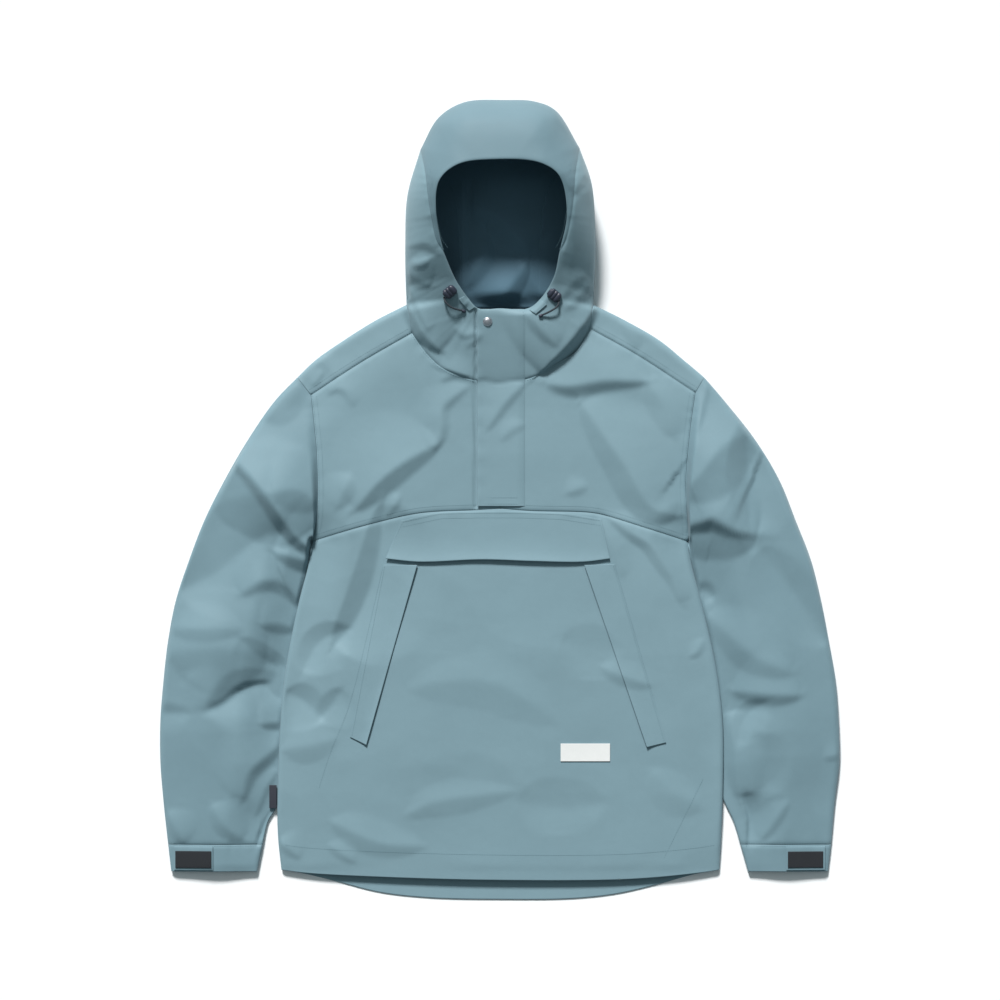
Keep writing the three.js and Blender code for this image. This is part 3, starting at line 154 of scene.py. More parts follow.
HOOD_MIDDLE = (0, 370, 30)
HOOD_DOME = {"side": 0.62, "top": 0.9, "collar": 0.15}
DOME_FROM_Y, TOP_FROM_Y, TOP_OVER = 330, 400, 90  # where the dome swells, and where its top begins
TOP_HALF_WIDTH, TOP_SIDE = 100, 60
COLLAR_TOP_Y, COLLAR_END_X = 262, 125  # the body's creases run on into the collar up to here
COLLAR_CORNER, COLLAR_CORNER_FREE = 114, 8
HOOD_FOLD_FREE = 7  # creases of the hood fade out over this distance from its edges
LIP_DROP, LIP_WIDTH, LIP_SEAM_FREE = 1.4, 3, 6
# Inside of the hood's back: where its folds lie, each limit with the width that they fade over
HOOD_FLOOR = {"half_width": (95, 40), "from": (250, 20), "to": (470, 60)}
FLOOR_SWELL = {"high": 10, "place": (8, 268), "size": (42, 46)}
FLOOR_RIPPLE = (2.5, 38, 9)  # height, wavelength, seed

# Creases are placed on a sketch grid of squares of GRID mm, counted from its top left corner.
GRID, GRID_MIDDLE = 1.3, 499.5
# on: b body, s sleeves, h hood, i hood inside. line: places on the sketch grid, from left to right or
# from bottom to top. deep: height of a ridge, or depth of a valley if it is negative. edge: rounding of
# its crest. steep: how far its steep side reaches, below or right of a ridge, above or left of a valley,
# in mm. The other side falls over LONG_SIDE times its height
CREASES = [
    # left chest and shoulder
    ("b", [(355, 509), (376, 484), (402, 463), (439, 443)], 7.6, 1.2, 21),
    ("b", [(434, 451), (441, 428), (442, 408), (468, 386)], 3.2, 1.2, 10),
    ("b", [(336, 508), (343, 492), (352, 475)], 2.8, 3, 13),
    ("b", [(386, 515), (393, 505), (400, 495)], 2.2, 1.2, 8),
    ("bs", [(328, 394), (337, 388.5), (345, 391.5), (354, 406)], 2.2, 1, 5),
    ("bs", [(311, 386), (317, 379), (323, 371)], 1.8, 1.2, 6),
    ("bs", [(264, 418), (284, 406), (301, 384)], 3.4, 2, 20),
    ("bs", [(303, 352), (322, 362), (338, 376)], 1.6, 4, 16),
    # right chest and shoulder
    ("b", [(546, 384), (571, 386), (601, 381), (650, 381)], 7.0, 1.2, 15),
    ("b", [(644, 382), (660, 400), (673, 436)], 3.4, 3, 20),
    ("b", [(580, 402), (605, 438), (626, 468), (637, 488), (651, 507), (676, 515)], 8.4, 1.8, 28),
    ("b", [(565, 493), (575, 489), (586, 486)], 1.6, 2, 7),
    ("b", [(486, 430), (504, 403), (523, 384)], 2.4, 1.5, 8),
    ("b", [(500, 440), (512, 428), (524, 424)], 1.2, 2, 8),
    ("bs", [(620, 316), (628, 332), (637, 348)], 1.8, 2, 9),
    # right body below the chest seam
    ("b", [(608, 517), (630, 532), (648, 543), (661, 561), (673, 580), (681, 603)], 4.2, 1.2, 12),
    ("b", [(600, 520), (612, 545), (622, 576)], 2.0, 2, 12),
    ("b", [(688, 656), (696, 650), (703, 638)], 1.4, 1.2, 6),
    ("b", [(600, 666), (626, 676), (650, 684)], 2.0, 2, 12),
    ("b", [(650, 770), (672, 792), (700, 806)], 1.8, 5, 24),
    # left body below the chest seam
    ("b", [(334, 645), (354, 622), (370, 588), (380, 547), (385, 502)], -8.5, 1.5, 26),
    ("b", [(303, 671), (320, 641), (348, 628)], -4.4, 2, 20),
    ("b", [(286, 691), (305, 701), (324, 719)], -4.2, 1.5, 22),
    ("b", [(319, 719), (332, 704), (342, 688)], -3.2, 2, 15),
    ("b", [(284, 748), (306, 745), (336, 737)], 2.4, 4, 20),
    # lower body
    ("b", [(331, 820), (356, 832), (382, 842), (423, 845)], 2.8, 2.5, 18),
    ("b", [(407, 813), (430, 802), (452, 797), (471, 795), (511, 790)], 2.2, 3, 20),
    ("b", [(413, 686), (455, 679), (494, 682), (524, 697), (555, 718)], 2.2, 5, 34),
    ("b", [(328, 844), (342, 852), (356, 861)], 1.8, 1.5, 8),
    ("b", [(518, 800), (556, 806), (602, 802)], -2.4, 7, 34),
    ("b", [(560, 640), (590, 652), (616, 650)], -2.0, 8, 34),
    ("b", [(278, 840), (288, 846), (300, 857)], 2.2, 1.2, 9),
    # left sleeve
    ("s", [(228, 454), (249, 473), (269, 496), (283, 517), (297, 535), (318, 553), (334, 566)], 8.5, 1, 14),
    ("s", [(224, 450), (249, 475), (269, 498), (300, 540)], 13, 4, 62),
    ("s", [(272, 493), (297, 489), (324, 504)], 5.5, 1.5, 30),
    ("s", [(178, 591), (219, 570), (242, 551), (265, 535), (288, 530)], -8.0, 2, 66),
    ("s", [(274, 550), (297, 557), (316, 562), (344, 572)], 9.0, 0.8, 17),
    ("s", [(275, 551), (288, 579), (303, 608)], 3.0, 1.5, 11),
    ("s", [(241, 594), (260, 581), (276, 579), (292, 590), (303, 609)], 5.2, 1.5, 15),
    ("s", [(172, 628), (203, 627), (242, 627)], 3.0, 3, 16),
    ("s", [(261, 623), (278, 622), (297, 628)], 3.8, 2, 13),
    ("s", [(241, 638), (264, 659), (290, 673)], -4.0, 2, 17),
    ("s", [(186, 676), (206, 690), (216, 702)], 2.6, 6, 30),
    ("s", [(170, 652), (215, 646), (268, 652)], 7.0, 6, 56),
    ("s", [(209, 709), (224, 702), (236, 693), (247, 687), (259, 684), (300, 687)], -4.0, 1, 7),
    ("s", [(207, 709), (224, 702), (236, 693), (247, 687), (259, 684), (304, 688)], -5.0, 2, 26),
    ("s", [(260, 723), (272, 721), (290, 722)], 3.6, 1.5, 10),
    ("s", [(242, 799), (250, 770), (263, 757), (286, 738)], 5.0, 1.5, 13),
    ("s", [(255, 815), (266, 786), (278, 768)], 2.0, 0.8, 6),
    ("s", [(256, 845), (264, 825), (274, 806)], -5.0, 0.5, 3.2),
    ("s", [(212, 803), (225, 823), (243, 838)], 3.4, 1.5, 14),
    ("s", [(156, 711), (168, 712), (190, 712)], -2.4, 1.2, 12),
    ("s", [(168, 810), (176, 826), (186, 842)], 3.0, 1.5, 12),
    # right sleeve
    ("s", [(694, 432), (700, 407), (707, 382)], 2.2, 1, 6),
    ("s", [(676, 495), (699, 472), (718, 449), (756, 425)], 11.0, 1.2, 46),
    ("s", [(749, 546), (747, 491), (746, 456), (746, 422)], -7.0, 1.5, 28),
    ("s", [(756, 424), (785, 478), (806, 528), (826, 590), (834, 640)], 7.5, 5, 46),
    ("s", [(655, 530), (685, 525), (700, 521), (709, 518), (718, 522), (731, 529), (757, 535)], 15, 1, 58),
    ("s", [(665, 530), (685, 525), (700, 521), (709, 518), (718, 522), (731, 529), (757, 535)], 5.5, 1, 13),
    ("s", [(687, 528), (694, 560), (704, 600)], 4.0, 1.2, 10),
    ("s", [(697, 593), (704, 590), (713, 599)], -3.4, 1.2, 11),
    ("s", [(701, 594), (709, 629), (717, 680), (722, 714)], 4.0, 1.2, 7),
    ("s", [(705, 614), (735, 640), (755, 656), (790, 671)], 4.6, 3.5, 22),
    ("s", [(731, 690), (766, 692.5), (799, 694)], 5.2, 1.2, 15),
    ("s", [(737, 744), (742, 722), (750, 709.5), (766, 700)], -3.4, 1.5, 14),
    ("s", [(727, 710), (733, 740), (738, 796)], 6.5, 1.5, 17),
    ("s", [(760, 796), (764, 760), (754, 732)], -3.2, 2, 20),
    ("s", [(747, 846), (748, 816), (742, 793)], -5.0, 0.5, 3.2),
    ("s", [(760, 838), (771, 822), (787, 800)], 2.2, 1.2, 9),
    ("s", [(822, 756.5), (832, 755), (844, 755)], 1.6, 0.8, 5),
    ("s", [(758, 548), (792, 592), (830, 642)], -4.5, 3, 30),
    # hood and collar
    ("bh", [(402, 290), (413, 314), (426, 337), (441, 352)], 8.5, 1, 12),
    ("bh", [(409, 288), (418, 308), (429, 332)], 2.6, 1, 6),
    ("bh", [(433, 365), (450, 370), (470, 376)], 2.4, 1, 6),
    ("bh", [(441, 381), (453, 375), (480, 382)], 2.4, 1, 6),
    ("bh", [(538, 374), (550, 362), (562, 350), (575, 334), (588, 316), (596, 298)], 13.0, 0.8, 12),
    ("h", [(466, 348), (474, 341), (482, 334)], 1.6, 1, 5),
    ("h", [(526, 315), (540, 330), (556, 347)], 3.4, 1.2, 10),
    ("h", [(454, 328), (464, 336), (477, 333)], 1.6, 1, 5),
    ("h", [(403, 270), (417, 280), (431, 288)], 3.6, 1.2, 12),
    ("h", [(408, 249), (427, 247), (439, 258)], 2.4, 1.2, 8),
    ("h", [(412, 264), (420, 268), (430, 264)], 1.8, 1, 6),
    ("h", [(572, 200), (578, 186), (591, 172)], 3.2, 1.2, 9),
    ("h", [(568, 270), (572, 240), (573, 210), (590, 190)], 3.4, 2, 18),
    ("h", [(566, 310), (580, 295), (593, 283)], 3.4, 1.5, 11),
    ("h", [(560, 300), (570, 286), (584, 276)], 1.8, 1.5, 8),
    ("h", [(440, 124), (470, 115), (520, 112), (560, 118)], -1.8, 4, 14),
    ("h", [(548, 112), (560, 124), (574, 140)], 2.2, 2, 10),
    ("i", [(463, 288), (461, 240), (462, 184)], 3.0, 1.2, 8),
    ("i", [(470, 212), (492, 212), (512, 232), (530, 252)], 8.0, 2, 22),
    ("i", [(462, 290), (480, 262), (488, 240)], 5.0, 2, 14),
    ("i", [(488, 312), (508, 288), (526, 262)], 7.0, 2, 16),
    ("i", [(520, 262), (534, 284), (545, 300)], 4.0, 2, 14),
]
LONG_SIDE = 11
LEAST_HEIGHT = 2.4  # no crease goes deeper, so that the cloth has room for its thickness
FALL = 1.35  # how the gentle side falls: 1 evenly, more is steeper near the crest
ARMHOLE_FORM, ARMHOLE_FOLDS = 30, 15  # a sleeve takes on the body's form and folds this near the armhole
RIDGE_FREE = {"edge": 6, "hem": 12}  # creases fade out over this distance from an edge or a hem
RIPPLE = [(95, 0.8, 3), (42, 0.3, 11), (17, 0.1, 23)]  # unevenness all over: wavelength, height, seed
FACETS = [(135, 1.5, 41), (62, 0.5, 57)]  # flat places that meet in faint ridges, likewise

PLACKET = {"left": -29, "right": 32, "bottom": -8, "top": 246}
FLAP_LOW = [(-148, -76), (-105, -80), (-23, -77), (41, -79), (107, -80), (142, -76)]
FLAP_TOP = [(-128, -27), (-77, -16), (-26, -15), (26, -15), (80, -17), (131, -25)]
WELTS = {
    "left": ([(-194, -307), (-173, -317)], [(-151, -84), (-107, -84)]),
    "right": ([(190, -320), (215, -314)], [(109, -84), (148, -83)]),
}
POCKET_STITCH = {  # outer stitch lines of the welts and the seam of the pocket bag
    "left": [(-151, -84), (-196, -268), (-220, -328), (-235, -375)],
    "right": [(148, -82), (200, -262), (215, -319)],
    "bag": [(264, -360), (212, -466)],
}
SNAP = {"x": -16, "y": 230, "radius": 6}
TABS = {
    "left": {"tab": (-397.5, -464.5, 51, 31), "grip": (-397.5, -466, 47, 22)},
    "right": {"tab": (396.5, -464.5, 51, 31), "grip": (396, -466, 46, 21)},
}
LABEL = (110.5, -327, 64, 23)
LOCKS = {
    "left": {
        "x": -64, "y": 269, "turn": 0.75,
        "route": [(-72, 260.5), (-70, 254.5), (-62, 247.5), (-48.5, 243.6)],
        "loop": ([(-40, 243.5), (-32, 248)], [(-53, 258), (-46, 262)])},
    "right": {
        "x": 69, "y": 265, "turn": -0.7,
        "route": [(76.2, 256.6), (73.5, 248.5), (65, 242.5), (54, 237.5)],
        "loop": ([(38, 244.5), (46, 239)], [(52, 257), (60, 251)])},
}
CORD_RADIUS, CORD_LIFT, CORD_REST, CORD_INTO_TIP = 1.25, 4, 2.3, 0.6
# Turned pieces: radius and height round their own axis
CORD_TIP = [(0, 0), (1.5, 0), (2.0, 0.5), (2.0, 1.0), (1.8, 1.15), (2.0, 1.3), (1.9, 4.2), (1.5, 5), (0, 5)]
SNAP_CAP = [
    (0, 0), (5.9, 0), (6.0, 0.35), (5.8, 0.75), (5.35, 0.95), (5.1, 0.8), (4.9, 0.95), (4.6, 1.5),
    (3.8, 2.05), (2.6, 2.35), (1.2, 2.45), (0, 2.48)]
# Cord lock: place along it, half its width, half its height
LOCK_RINGS = [
    (-9, 0.0, 0.0), (-8.9, 3.4, 2.2), (-8.3, 4.6, 3.0), (-6.6, 5.1, 3.3), (-6.4, 6.5, 3.7), (-5.6, 6.9, 3.9),
    (-2.9, 7.0, 4.0), (-2.6, 6.5, 3.6), (-1.8, 6.5, 3.6), (-1.5, 7.0, 4.0), (1.5, 7.0, 4.0), (1.8, 6.5, 3.6),
    (2.6, 6.5, 3.6), (2.9, 7.0, 4.0), (5.6, 6.9, 3.9), (6.6, 6.4, 3.6), (8.2, 5.0, 2.9), (8.9, 3.0, 1.8),
    (9, 0.0, 0.0)]
LOCK_SQUARENESS, LOCK_STEPS = 0.75, 28
STITCH_LENGTH, STITCH_PITCH, STITCH_RADIUS = 2.4, 3.3, 0.24
SEAM_STITCHES, CHEST_STITCHES, HEM_STITCH = (1.8, 7), (1.6, 7), 33  # rows of stitches beside an edge

# Extra grid lines beside a hem, a seam, an edge that rolls over, an edge of an overlay and of a small tab
HEM_LINES, SEAM_LINES, ROLL_LINES = (1, 3), (0.7, 2.0, 4.2), (0.2, 0.7, 1.5, 2.7, 4.4, 6.4)
OVERLAY_LINES, FINE_LINES, TAB_LINES = (0.6, 1.5, 3), (0.5, 1.2, 2.5), (0.4, 1)
# least share of a cut that its sheet is declared with
LEAST_SHOWN = 0.31  # least share of a cut that a panel's worked-out size is held to
SENSOR_WIDTH, FAR_END = 36, 50
FLOOR_HALF, FLOOR_DROP = 6, 0.0004  # size of the surface and its play under the garment, in metres
# Lamps far away: place that they shine from, breadth of their light in degrees, strength
LAMPS = [
    ("window past the hood", (-0.55, 2.6, 1.85), 12, 4.75),
    ("soft window", (-0.4, 1.4, 2.4), 70, 0.25)]
FILL, FILL_COLOUR = 0.18, (0.8, 1.03, 1.1, 1)  # light from all round, slightly blue as shade is
SEAM_GAP = 0.15  # each panel stops this far short of its seam
WELD = 0.05


# Curves
def curve(rows, fine=10):
    """A smooth line through rows of coordinates, fine points to each stretch."""
    p = np.array(rows, float)
    q = np.vstack([2 * p[0] - p[1], p, 2 * p[-1] - p[-2]])
    s = (np.arange(fine) / fine)[:, None]
    runs = []
    for i in range(len(p) - 1):
        a, b, c, d = q[i:i + 4]
        before, here, after = (max(np.linalg.norm(v - u), 1e-6) ** 0.5 for u, v in ((a, b), (b, c), (c, d)))
        leave = ((b - a) / before - (c - a) / (before + here) + (c - b) / here) * here
        arrive = ((c - b) / here - (d - b) / (here + after) + (d - c) / after) * here
        runs.append(
            b + leave * s + (3 * (c - b) - 2 * leave - arrive) * s**2 + (2 * (b - c) + leave + arrive) * s**3)
    return np.vstack(runs + [p[-1:]])


def smoothed(rows, fine=6):
    """Rows of x, y and more columns with points of a smooth line between them."""
    rows = np.array(rows, float)
    line = curve(rows[:, :2], fine)
    place = np.linspace(0, len(rows) - 1, len(line))
    more = [np.interp(place, np.arange(len(rows)), rows[:, k]) for k in range(2, rows.shape[1])]
    return np.column_stack([line] + more)


def lengths(line):
    """Length of a line up to each of its points."""
    return np.concatenate([[0], np.cumsum(np.linalg.norm(np.diff(line, axis=0), axis=1))])


def at(line, shares):
    """Places on a line at shares of its length."""
    along = lengths(line)
    want = np.asarray(shares) * along[-1]
    return np.column_stack([np.interp(want, along, line[:, k]) for k in range(line.shape[1])])


def joined(*runs):
    """Runs end to end, each starting where the one before it stops."""
    return np.vstack([run if i == 0 else run[1:] for i, run in enumerate(runs)])


def spread(length, step, start=(), end=()):
    """Shares of a length, a step apart, with extra places at set distances from its start and its end."""
    first = [0, *start]
    last = [length - d for d in reversed(end)] + [length]
    room = last[0] - first[-1]
    count = max(1, round(room / step))
    middle = [first[-1] + room * k / count for k in range(1, count)]
    return np.array(first + middle + last) / length


def snap_to(shares, share):
    """Moves the nearest inner place of shares onto a share where a run has a corner."""
    k = 1 + int(np.argmin(abs(shares[1:-1] - share)))
    shares[k] = share
    return shares


def nearest(line, x, y):
    """For many places: distance to a line, side of it, share of its length and its other columns there."""
    best = np.full(x.shape, np.inf)
    side = np.ones(x.shape)
    place = np.zeros(x.shape)
    for i in range(len(line) - 1):
        (ax, ay), (dx, dy) = line[i, :2], line[i + 1, :2] - line[i, :2]
        long = dx * dx + dy * dy
        if long == 0:
            continue
        t = np.clip(((x - ax) * dx + (y - ay) * dy) / long, 0, 1)
        away = np.hypot(x - ax - t * dx, y - ay - t * dy)
        closer = away < best
        best = np.where(closer, away, best)
        side = np.where(closer, np.where(dx * (y - ay) - dy * (x - ax) >= 0, 1.0, -1.0), side)
        place = np.where(closer, i + t, place)
    columns = [np.interp(place, np.arange(len(line)), line[:, k]) for k in range(2, line.shape[1])]
    return best, side, place / (len(line) - 1), columns


def across(table):
    """One line from side to side through a table's left half and its right half."""
    return joined(curve(table["left"]), curve(table["right"])[::-1])


def near_box(line, reach, x, y):
    """Which places lie in the box round a line, with a reach."""
    (west, south), (east, north) = line[:, :2].min(axis=0) - reach, line[:, :2].max(axis=0) + reach
    return (x > west) & (x < east) & (y > south) & (y < north)


def round_over(t):
    """Rises from 0 to 1 as a quarter circle does, upright at first."""
    return np.sqrt(1 - (1 - np.minimum(t, 1)) ** 2)


def ease(t):
    """Rises from 0 to 1, level at both ends."""
    t = np.clip(t, 0, 1)
    return t * t * (3 - 2 * t)


# Unevenness
def lattice(i, j, seed):
    """A fixed scattered number between -1 and 1 for each pair of whole numbers."""
    n = (i * 374761393 + j * 668265263 + seed * 974634777) & 0xFFFFFFFF
    n = ((n ^ (n >> 13)) * 1274126177) & 0xFFFFFFFF
    return ((n ^ (n >> 16)) & 0xFFFF) / 32767.5 - 1


def ripple(x, y, wave, seed):
    """Smooth random height between -1 and 1 with about that distance from crest to crest."""
    u, v = x / wave + 100, y / wave + 100
    i, j = np.floor(u).astype(np.int64), np.floor(v).astype(np.int64)
    s, t = ease(u - i), ease(v - j)
    low = lattice(i, j, seed) * (1 - s) + lattice(i + 1, j, seed) * s
    high = lattice(i, j + 1, seed) * (1 - s) + lattice(i + 1, j + 1, seed) * s
    return low * (1 - t) + high * t


def uneven(x, y):
    """Height of the small unevenness that the cloth has all over."""
    turn_x, turn_y = 0.8 * x + 0.6 * y, -0.6 * x + 0.8 * y
    soft = sum(high * ripple(turn_x, turn_y, wave, seed) for wave, high, seed in RIPPLE)
    flat = sum(high * (0.5 - abs(ripple(x + 0.3 * y, y, wave, seed))) for wave, high, seed in FACETS)
    return soft + flat


# Heights
EDGES = {}
for _side in SIDES:
    _outer, _flank, _inner = (smoothed(rows[_side]) for rows in (OUTER_EDGE, SIDE_EDGE, INNER_EDGE))
    EDGES["body_" + _side] = [(_outer, *ROLL["outer"]), (_flank, *ROLL["side"])]
    EDGES["sleeve_" + _side] = [(_outer, *ROLL["outer"]), (_inner, *ROLL["inner"])]
CREASE_LINES = [
    (on, curve([((px - GRID_MIDDLE) * GRID, (GRID_MIDDLE - py) * GRID) for px, py in line], 8), *sizes)
    for on, line, *sizes in CREASES]


def crease_height(on, x, y):
    """Height that the creases of one kind of panel add: each is steep on one side of its line, where it
    falls evenly, and gentle on the other, and narrows to its ends."""
    total = np.zeros(x.shape)
    strength = bpy.context.scene.anorak_sizes.crease_strength
    for kinds, line, deep, edge, steep in CREASE_LINES:
        if on not in kinds:
            continue
        long_side = max(steep, LONG_SIDE * abs(deep))
        near = near_box(line, long_side, x, y)
        if not near.any():
            continue
        away, side, share, _ = nearest(line, x[near], y[near])
        on_steep = side * deep < 0
        fade = np.sin(np.pi * np.clip(share, 0.01, 0.99)) ** 0.5
        soft = np.sqrt(away * away + edge * edge) - edge
        left = np.clip(1 - soft / (np.where(on_steep, steep, long_side) * fade), 0, 1)
        total[near] += deep * fade * left ** np.where(on_steep, 1.0, FALL)
    return strength * total


def upper_form(part, x, y):
    """Height of the upper side of a body half or a sleeve without creases or seams, and the distance from
    its edge."""
    crown = np.interp(y, *np.transpose(BODY_CROWN)) - CROWN_SIDE_DROP * (x / BODY_HALF_WIDTH) ** 2
    if part.startswith("sleeve"):
        blend = ease((abs(x) - ARMHOLE_X) / SLEEVE_BLEND)
        crown = crown + (np.interp(y, *np.transpose(SLEEVE_CROWN)) - crown) * blend
    height = crown.copy()
    free = np.full(x.shape, np.inf)
    for line, turn, rise, _ in EDGES[part]:
        away, _, _, (edge, shelf) = nearest(line, x, y)
        low = np.minimum(shelf, crown)
        height -= (low - edge) * (1 - round_over(away / turn))
        height -= (crown - low) * (1 - ease(away / rise))
        free = np.minimum(free, away)
    return height, free


def front_height(part, x, y):
    """Height of the upper side of a body half or a sleeve."""
    height, free = upper_form(part, x, y)
    hem = np.clip(y - CUFF_END_Y, 0, None) / RIDGE_FREE["hem"]
    loose = ease(free / RIDGE_FREE["edge"]) * ease(hem + 0.15)
    folded = height + (crease_height(part[0], x, y) + uneven(x, y)) * loose
    return np.maximum(folded, np.minimum(height, LEAST_HEIGHT)) - seam_dip(x, y)


def back_height(part, x, y):
    """Height of the under side of a body half or a sleeve."""
    height = np.zeros(x.shape)
    for line, _, _, under in EDGES[part]:
        away, _, _, (edge, _) = nearest(line, x, y)
        height += edge * (1 - round_over(away / under))
    return height


def both_halves(face):
    """A face of the whole body as one height over plan places."""
    return lambda x, y: np.where(x < 0, face("body_left", x, y), face("body_right", x, y))


# Sewn seams: line in plan, dip, half width and height of the pucker beside it
SEWN = [
    (across(CHEST_SEAM), 0.9, 2.0, 0.5),
    *[(curve(ARMHOLE[s]), 0.5, 1.8, 0.45) for s in SIDES],
    *[(curve(SHOULDER_SEAM[s]), 1.1, 2.0, 0.5) for s in SIDES],
    (across(NECK_SEAM), 0.6, 1.8, 0.6),
    *[(curve(HOOD_SEAM_FRONT[s]), 0.9, 2.2, 0.45) for s in SIDES],
    (np.array([(-431.0, CUFF_SEAM_Y), (-308, CUFF_SEAM_Y)]), 0.9, 2.2, 0.5),
    (np.array([(430.0, CUFF_SEAM_Y), (312, CUFF_SEAM_Y)]), 0.9, 2.2, 0.5),
    (np.array([(PLACKET["left"] - 1.5, -9.0), (PLACKET["left"] - 1.5, 246)]), 4.4, 1.8, 0.1),
]
PUCKER_WIDTH, PUCKER_WAVE, SEAM_REACH = 9, 7, 24


def seam_dip(x, y):
    """How far the cloth sinks and puckers beside its seams."""
    total = np.zeros(x.shape)
    for k, (line, dip, half, pucker) in enumerate(SEWN):
        near = near_box(line, SEAM_REACH, x, y)
        if not near.any():
            continue
        away, _, share, _ = nearest(line, x[near], y[near])
        along = share * lengths(line)[-1]
        gather = ripple(along, 30 + 7.0 * k + 0 * along, PUCKER_WAVE, 5 + k)
        total[near] += dip * np.exp(-((away / half) ** 2))
        total[near] += pucker * gather * np.exp(-((away / PUCKER_WIDTH) ** 2))
    return total


def hood_lines():
    """The closed outline of the hood with its height and bulge, and the face edge with its height."""
    rows = []
    for side in SIDES:
        line = smoothed(HOOD_OUTLINE_SIDE[side], 10)
        grow = np.minimum(1, np.linspace(0, 3, len(line)))
        dome = HOOD_DOME["collar"] + (HOOD_DOME["side"] - HOOD_DOME["collar"]) * grow
        rows.append(np.column_stack([line, dome]))
    top = smoothed(HOOD_OUTLINE_TOP, 10)
    swell = np.sin(np.pi * np.linspace(0, 1, len(top)))
    top = np.column_stack([top, HOOD_DOME["side"] + (HOOD_DOME["top"] - HOOD_DOME["side"]) * swell])
    collars = []
    for side in SIDES:
        plan = joined(
            curve(NECK_SEAM[side], 4)[::-1],
            np.linspace(NECK_SEAM[side][0], OUTER_EDGE[side][0][:2], 5))
        high, _ = upper_form("body_" + side, plan[:, 0], plan[:, 1])
        collars.append(np.column_stack([plan, high, np.full(len(plan), HOOD_DOME["collar"])]))
    outline = joined(rows[0], top, rows[1][::-1], collars[1][::-1], collars[0])
    low = [smoothed(FACE_EDGE_LOW[side]) for side in SIDES]
    return outline, joined(low[0], smoothed(FACE_EDGE_TOP), low[1][::-1])


HOOD_OUTLINE, FACE_EDGE = hood_lines()


def neck_y(x):
    """How far up the neck seam runs at a place across the garment."""
    return np.interp(x, *np.transpose(NECK_SEAM["left"] + NECK_SEAM["right"][::-1][1:]))


def hood_height(x, y):
    """Height of the hood's and collar's upper side."""
    out, _, _, (out_z, dome) = nearest(HOOD_OUTLINE, x, y)
    rim, _, _, (rim_z,) = nearest(FACE_EDGE, x, y)
    out = np.clip(out - HOOD_EDGE_PLAY, 0, None)
    over_top = ease((y - TOP_FROM_Y) / TOP_OVER) * ease((TOP_HALF_WIDTH - abs(x)) / TOP_SIDE)
    swell = HOOD_DOME["side"] + (HOOD_DOME["top"] - HOOD_DOME["side"]) * over_top
    dome = np.where(y > DOME_FROM_Y, swell, dome)
    t = out / np.maximum(out + rim, 1e-9)
    bulge = t + (round_over(t) - t) * dome
    # In the collar the folds run on over the neck seam, except past its two ends
    collar = y < COLLAR_TOP_Y
    past_end = np.hypot(np.clip(abs(x) - COLLAR_CORNER, 0, None), np.clip(y - neck_y(x), 0, None))
    loose = np.where(collar, 1, ease(out / HOOD_FOLD_FREE)) * ease(rim / HOOD_FOLD_FREE)
    ends = loose * ease((COLLAR_END_X - abs(x)) / COLLAR_CORNER_FREE)
    loose = np.where(collar & (past_end > COLLAR_CORNER_FREE), ends, loose)
    lip = LIP_DROP * (1 - round_over(rim / LIP_WIDTH))
    return (
        out_z + (rim_z - out_z) * bulge + (crease_height("h", x, y) + 0.8 * uneven(x, y)) * loose
        - seam_dip(x, y) * ease((rim + 1) / LIP_SEAM_FREE) - lip)


# Meshes
def filled(s, n, w, e, us, vs):
    """Plan places of a grid between the places on its four sides, south, north, west and east."""
    u, v = us[None, :, None], vs[:, None, None]
    return (
        (1 - v) * s[None] + v * n[None] + (1 - u) * w[:, None] + u * e[:, None]
        - (1 - u) * (1 - v) * s[0] - u * (1 - v) * s[-1] - (1 - u) * v * n[0] - u * v * n[-1])


def patch(south, north, west, east, us, vs):
    """Plan places of a grid between four lines that meet at the corners."""
    return filled(at(south, us), at(north, us), at(west, vs), at(east, vs), us, vs)


def raised(plan, height):
    """A grid of plan places with its heights."""
    z = height(plan[..., 0].ravel(), plan[..., 1].ravel()).reshape(plan.shape[:2])
    return np.dstack([plan[..., 0], plan[..., 1], z])


def pulled_in(grid, sides):
    """A grid whose named sides, s n w e, stop short of their seams."""
    grid = grid.copy()
    for side in sides:
        rows = grid if side in "sn" else grid.swapaxes(0, 1)
        edge, inner = (0, 1) if side in "sw" else (-1, -2)
        way = rows[inner] - rows[edge]
        rows[edge] += way / np.maximum(np.linalg.norm(way, axis=1), 1e-6)[:, None] * SEAM_GAP
    return grid


def sheet_mesh(name, grids):
    """A mesh of grids of points in mm, each with the way it faces: +1 up, -1 down, or a point to face
    away from. Points closer than WELD become one."""
    places, loops = [], []
    for grid, facing in grids:
        rows, columns = grid.shape[:2]
        first = sum(len(p) for p in places)
        places.append(grid.reshape(-1, 3))
        k = first + np.arange(rows * columns).reshape(rows, columns)
        cells = np.stack([k[:-1, :-1], k[:-1, 1:], k[1:, 1:], k[1:, :-1]], axis=-1).reshape(-1, 4)
        a, b, c, d = (grid.reshape(-1, 3)[cells[:, i] - first] for i in range(4))
        normal = np.cross(c - a, d - b)
        if np.ndim(facing):
            turn = np.sum(normal * ((a + c) / 2 - np.array(facing)))
        else:
            turn = np.sum(normal[:, 2]) * facing
        loops.append(cells if turn > 0 else cells[:, ::-1])
    mesh = bpy.data.meshes.new(name)
    mesh.from_pydata((np.vstack(places) * MM).tolist(), [], np.vstack(loops).tolist())
    made = bmesh.new()
    made.from_mesh(mesh)
    bmesh.ops.remove_doubles(made, verts=made.verts, dist=WELD * MM)
    bmesh.ops.dissolve_degenerate(made, edges=made.edges, dist=1e-6)
    made.to_mesh(mesh)
    made.free()
    return mesh


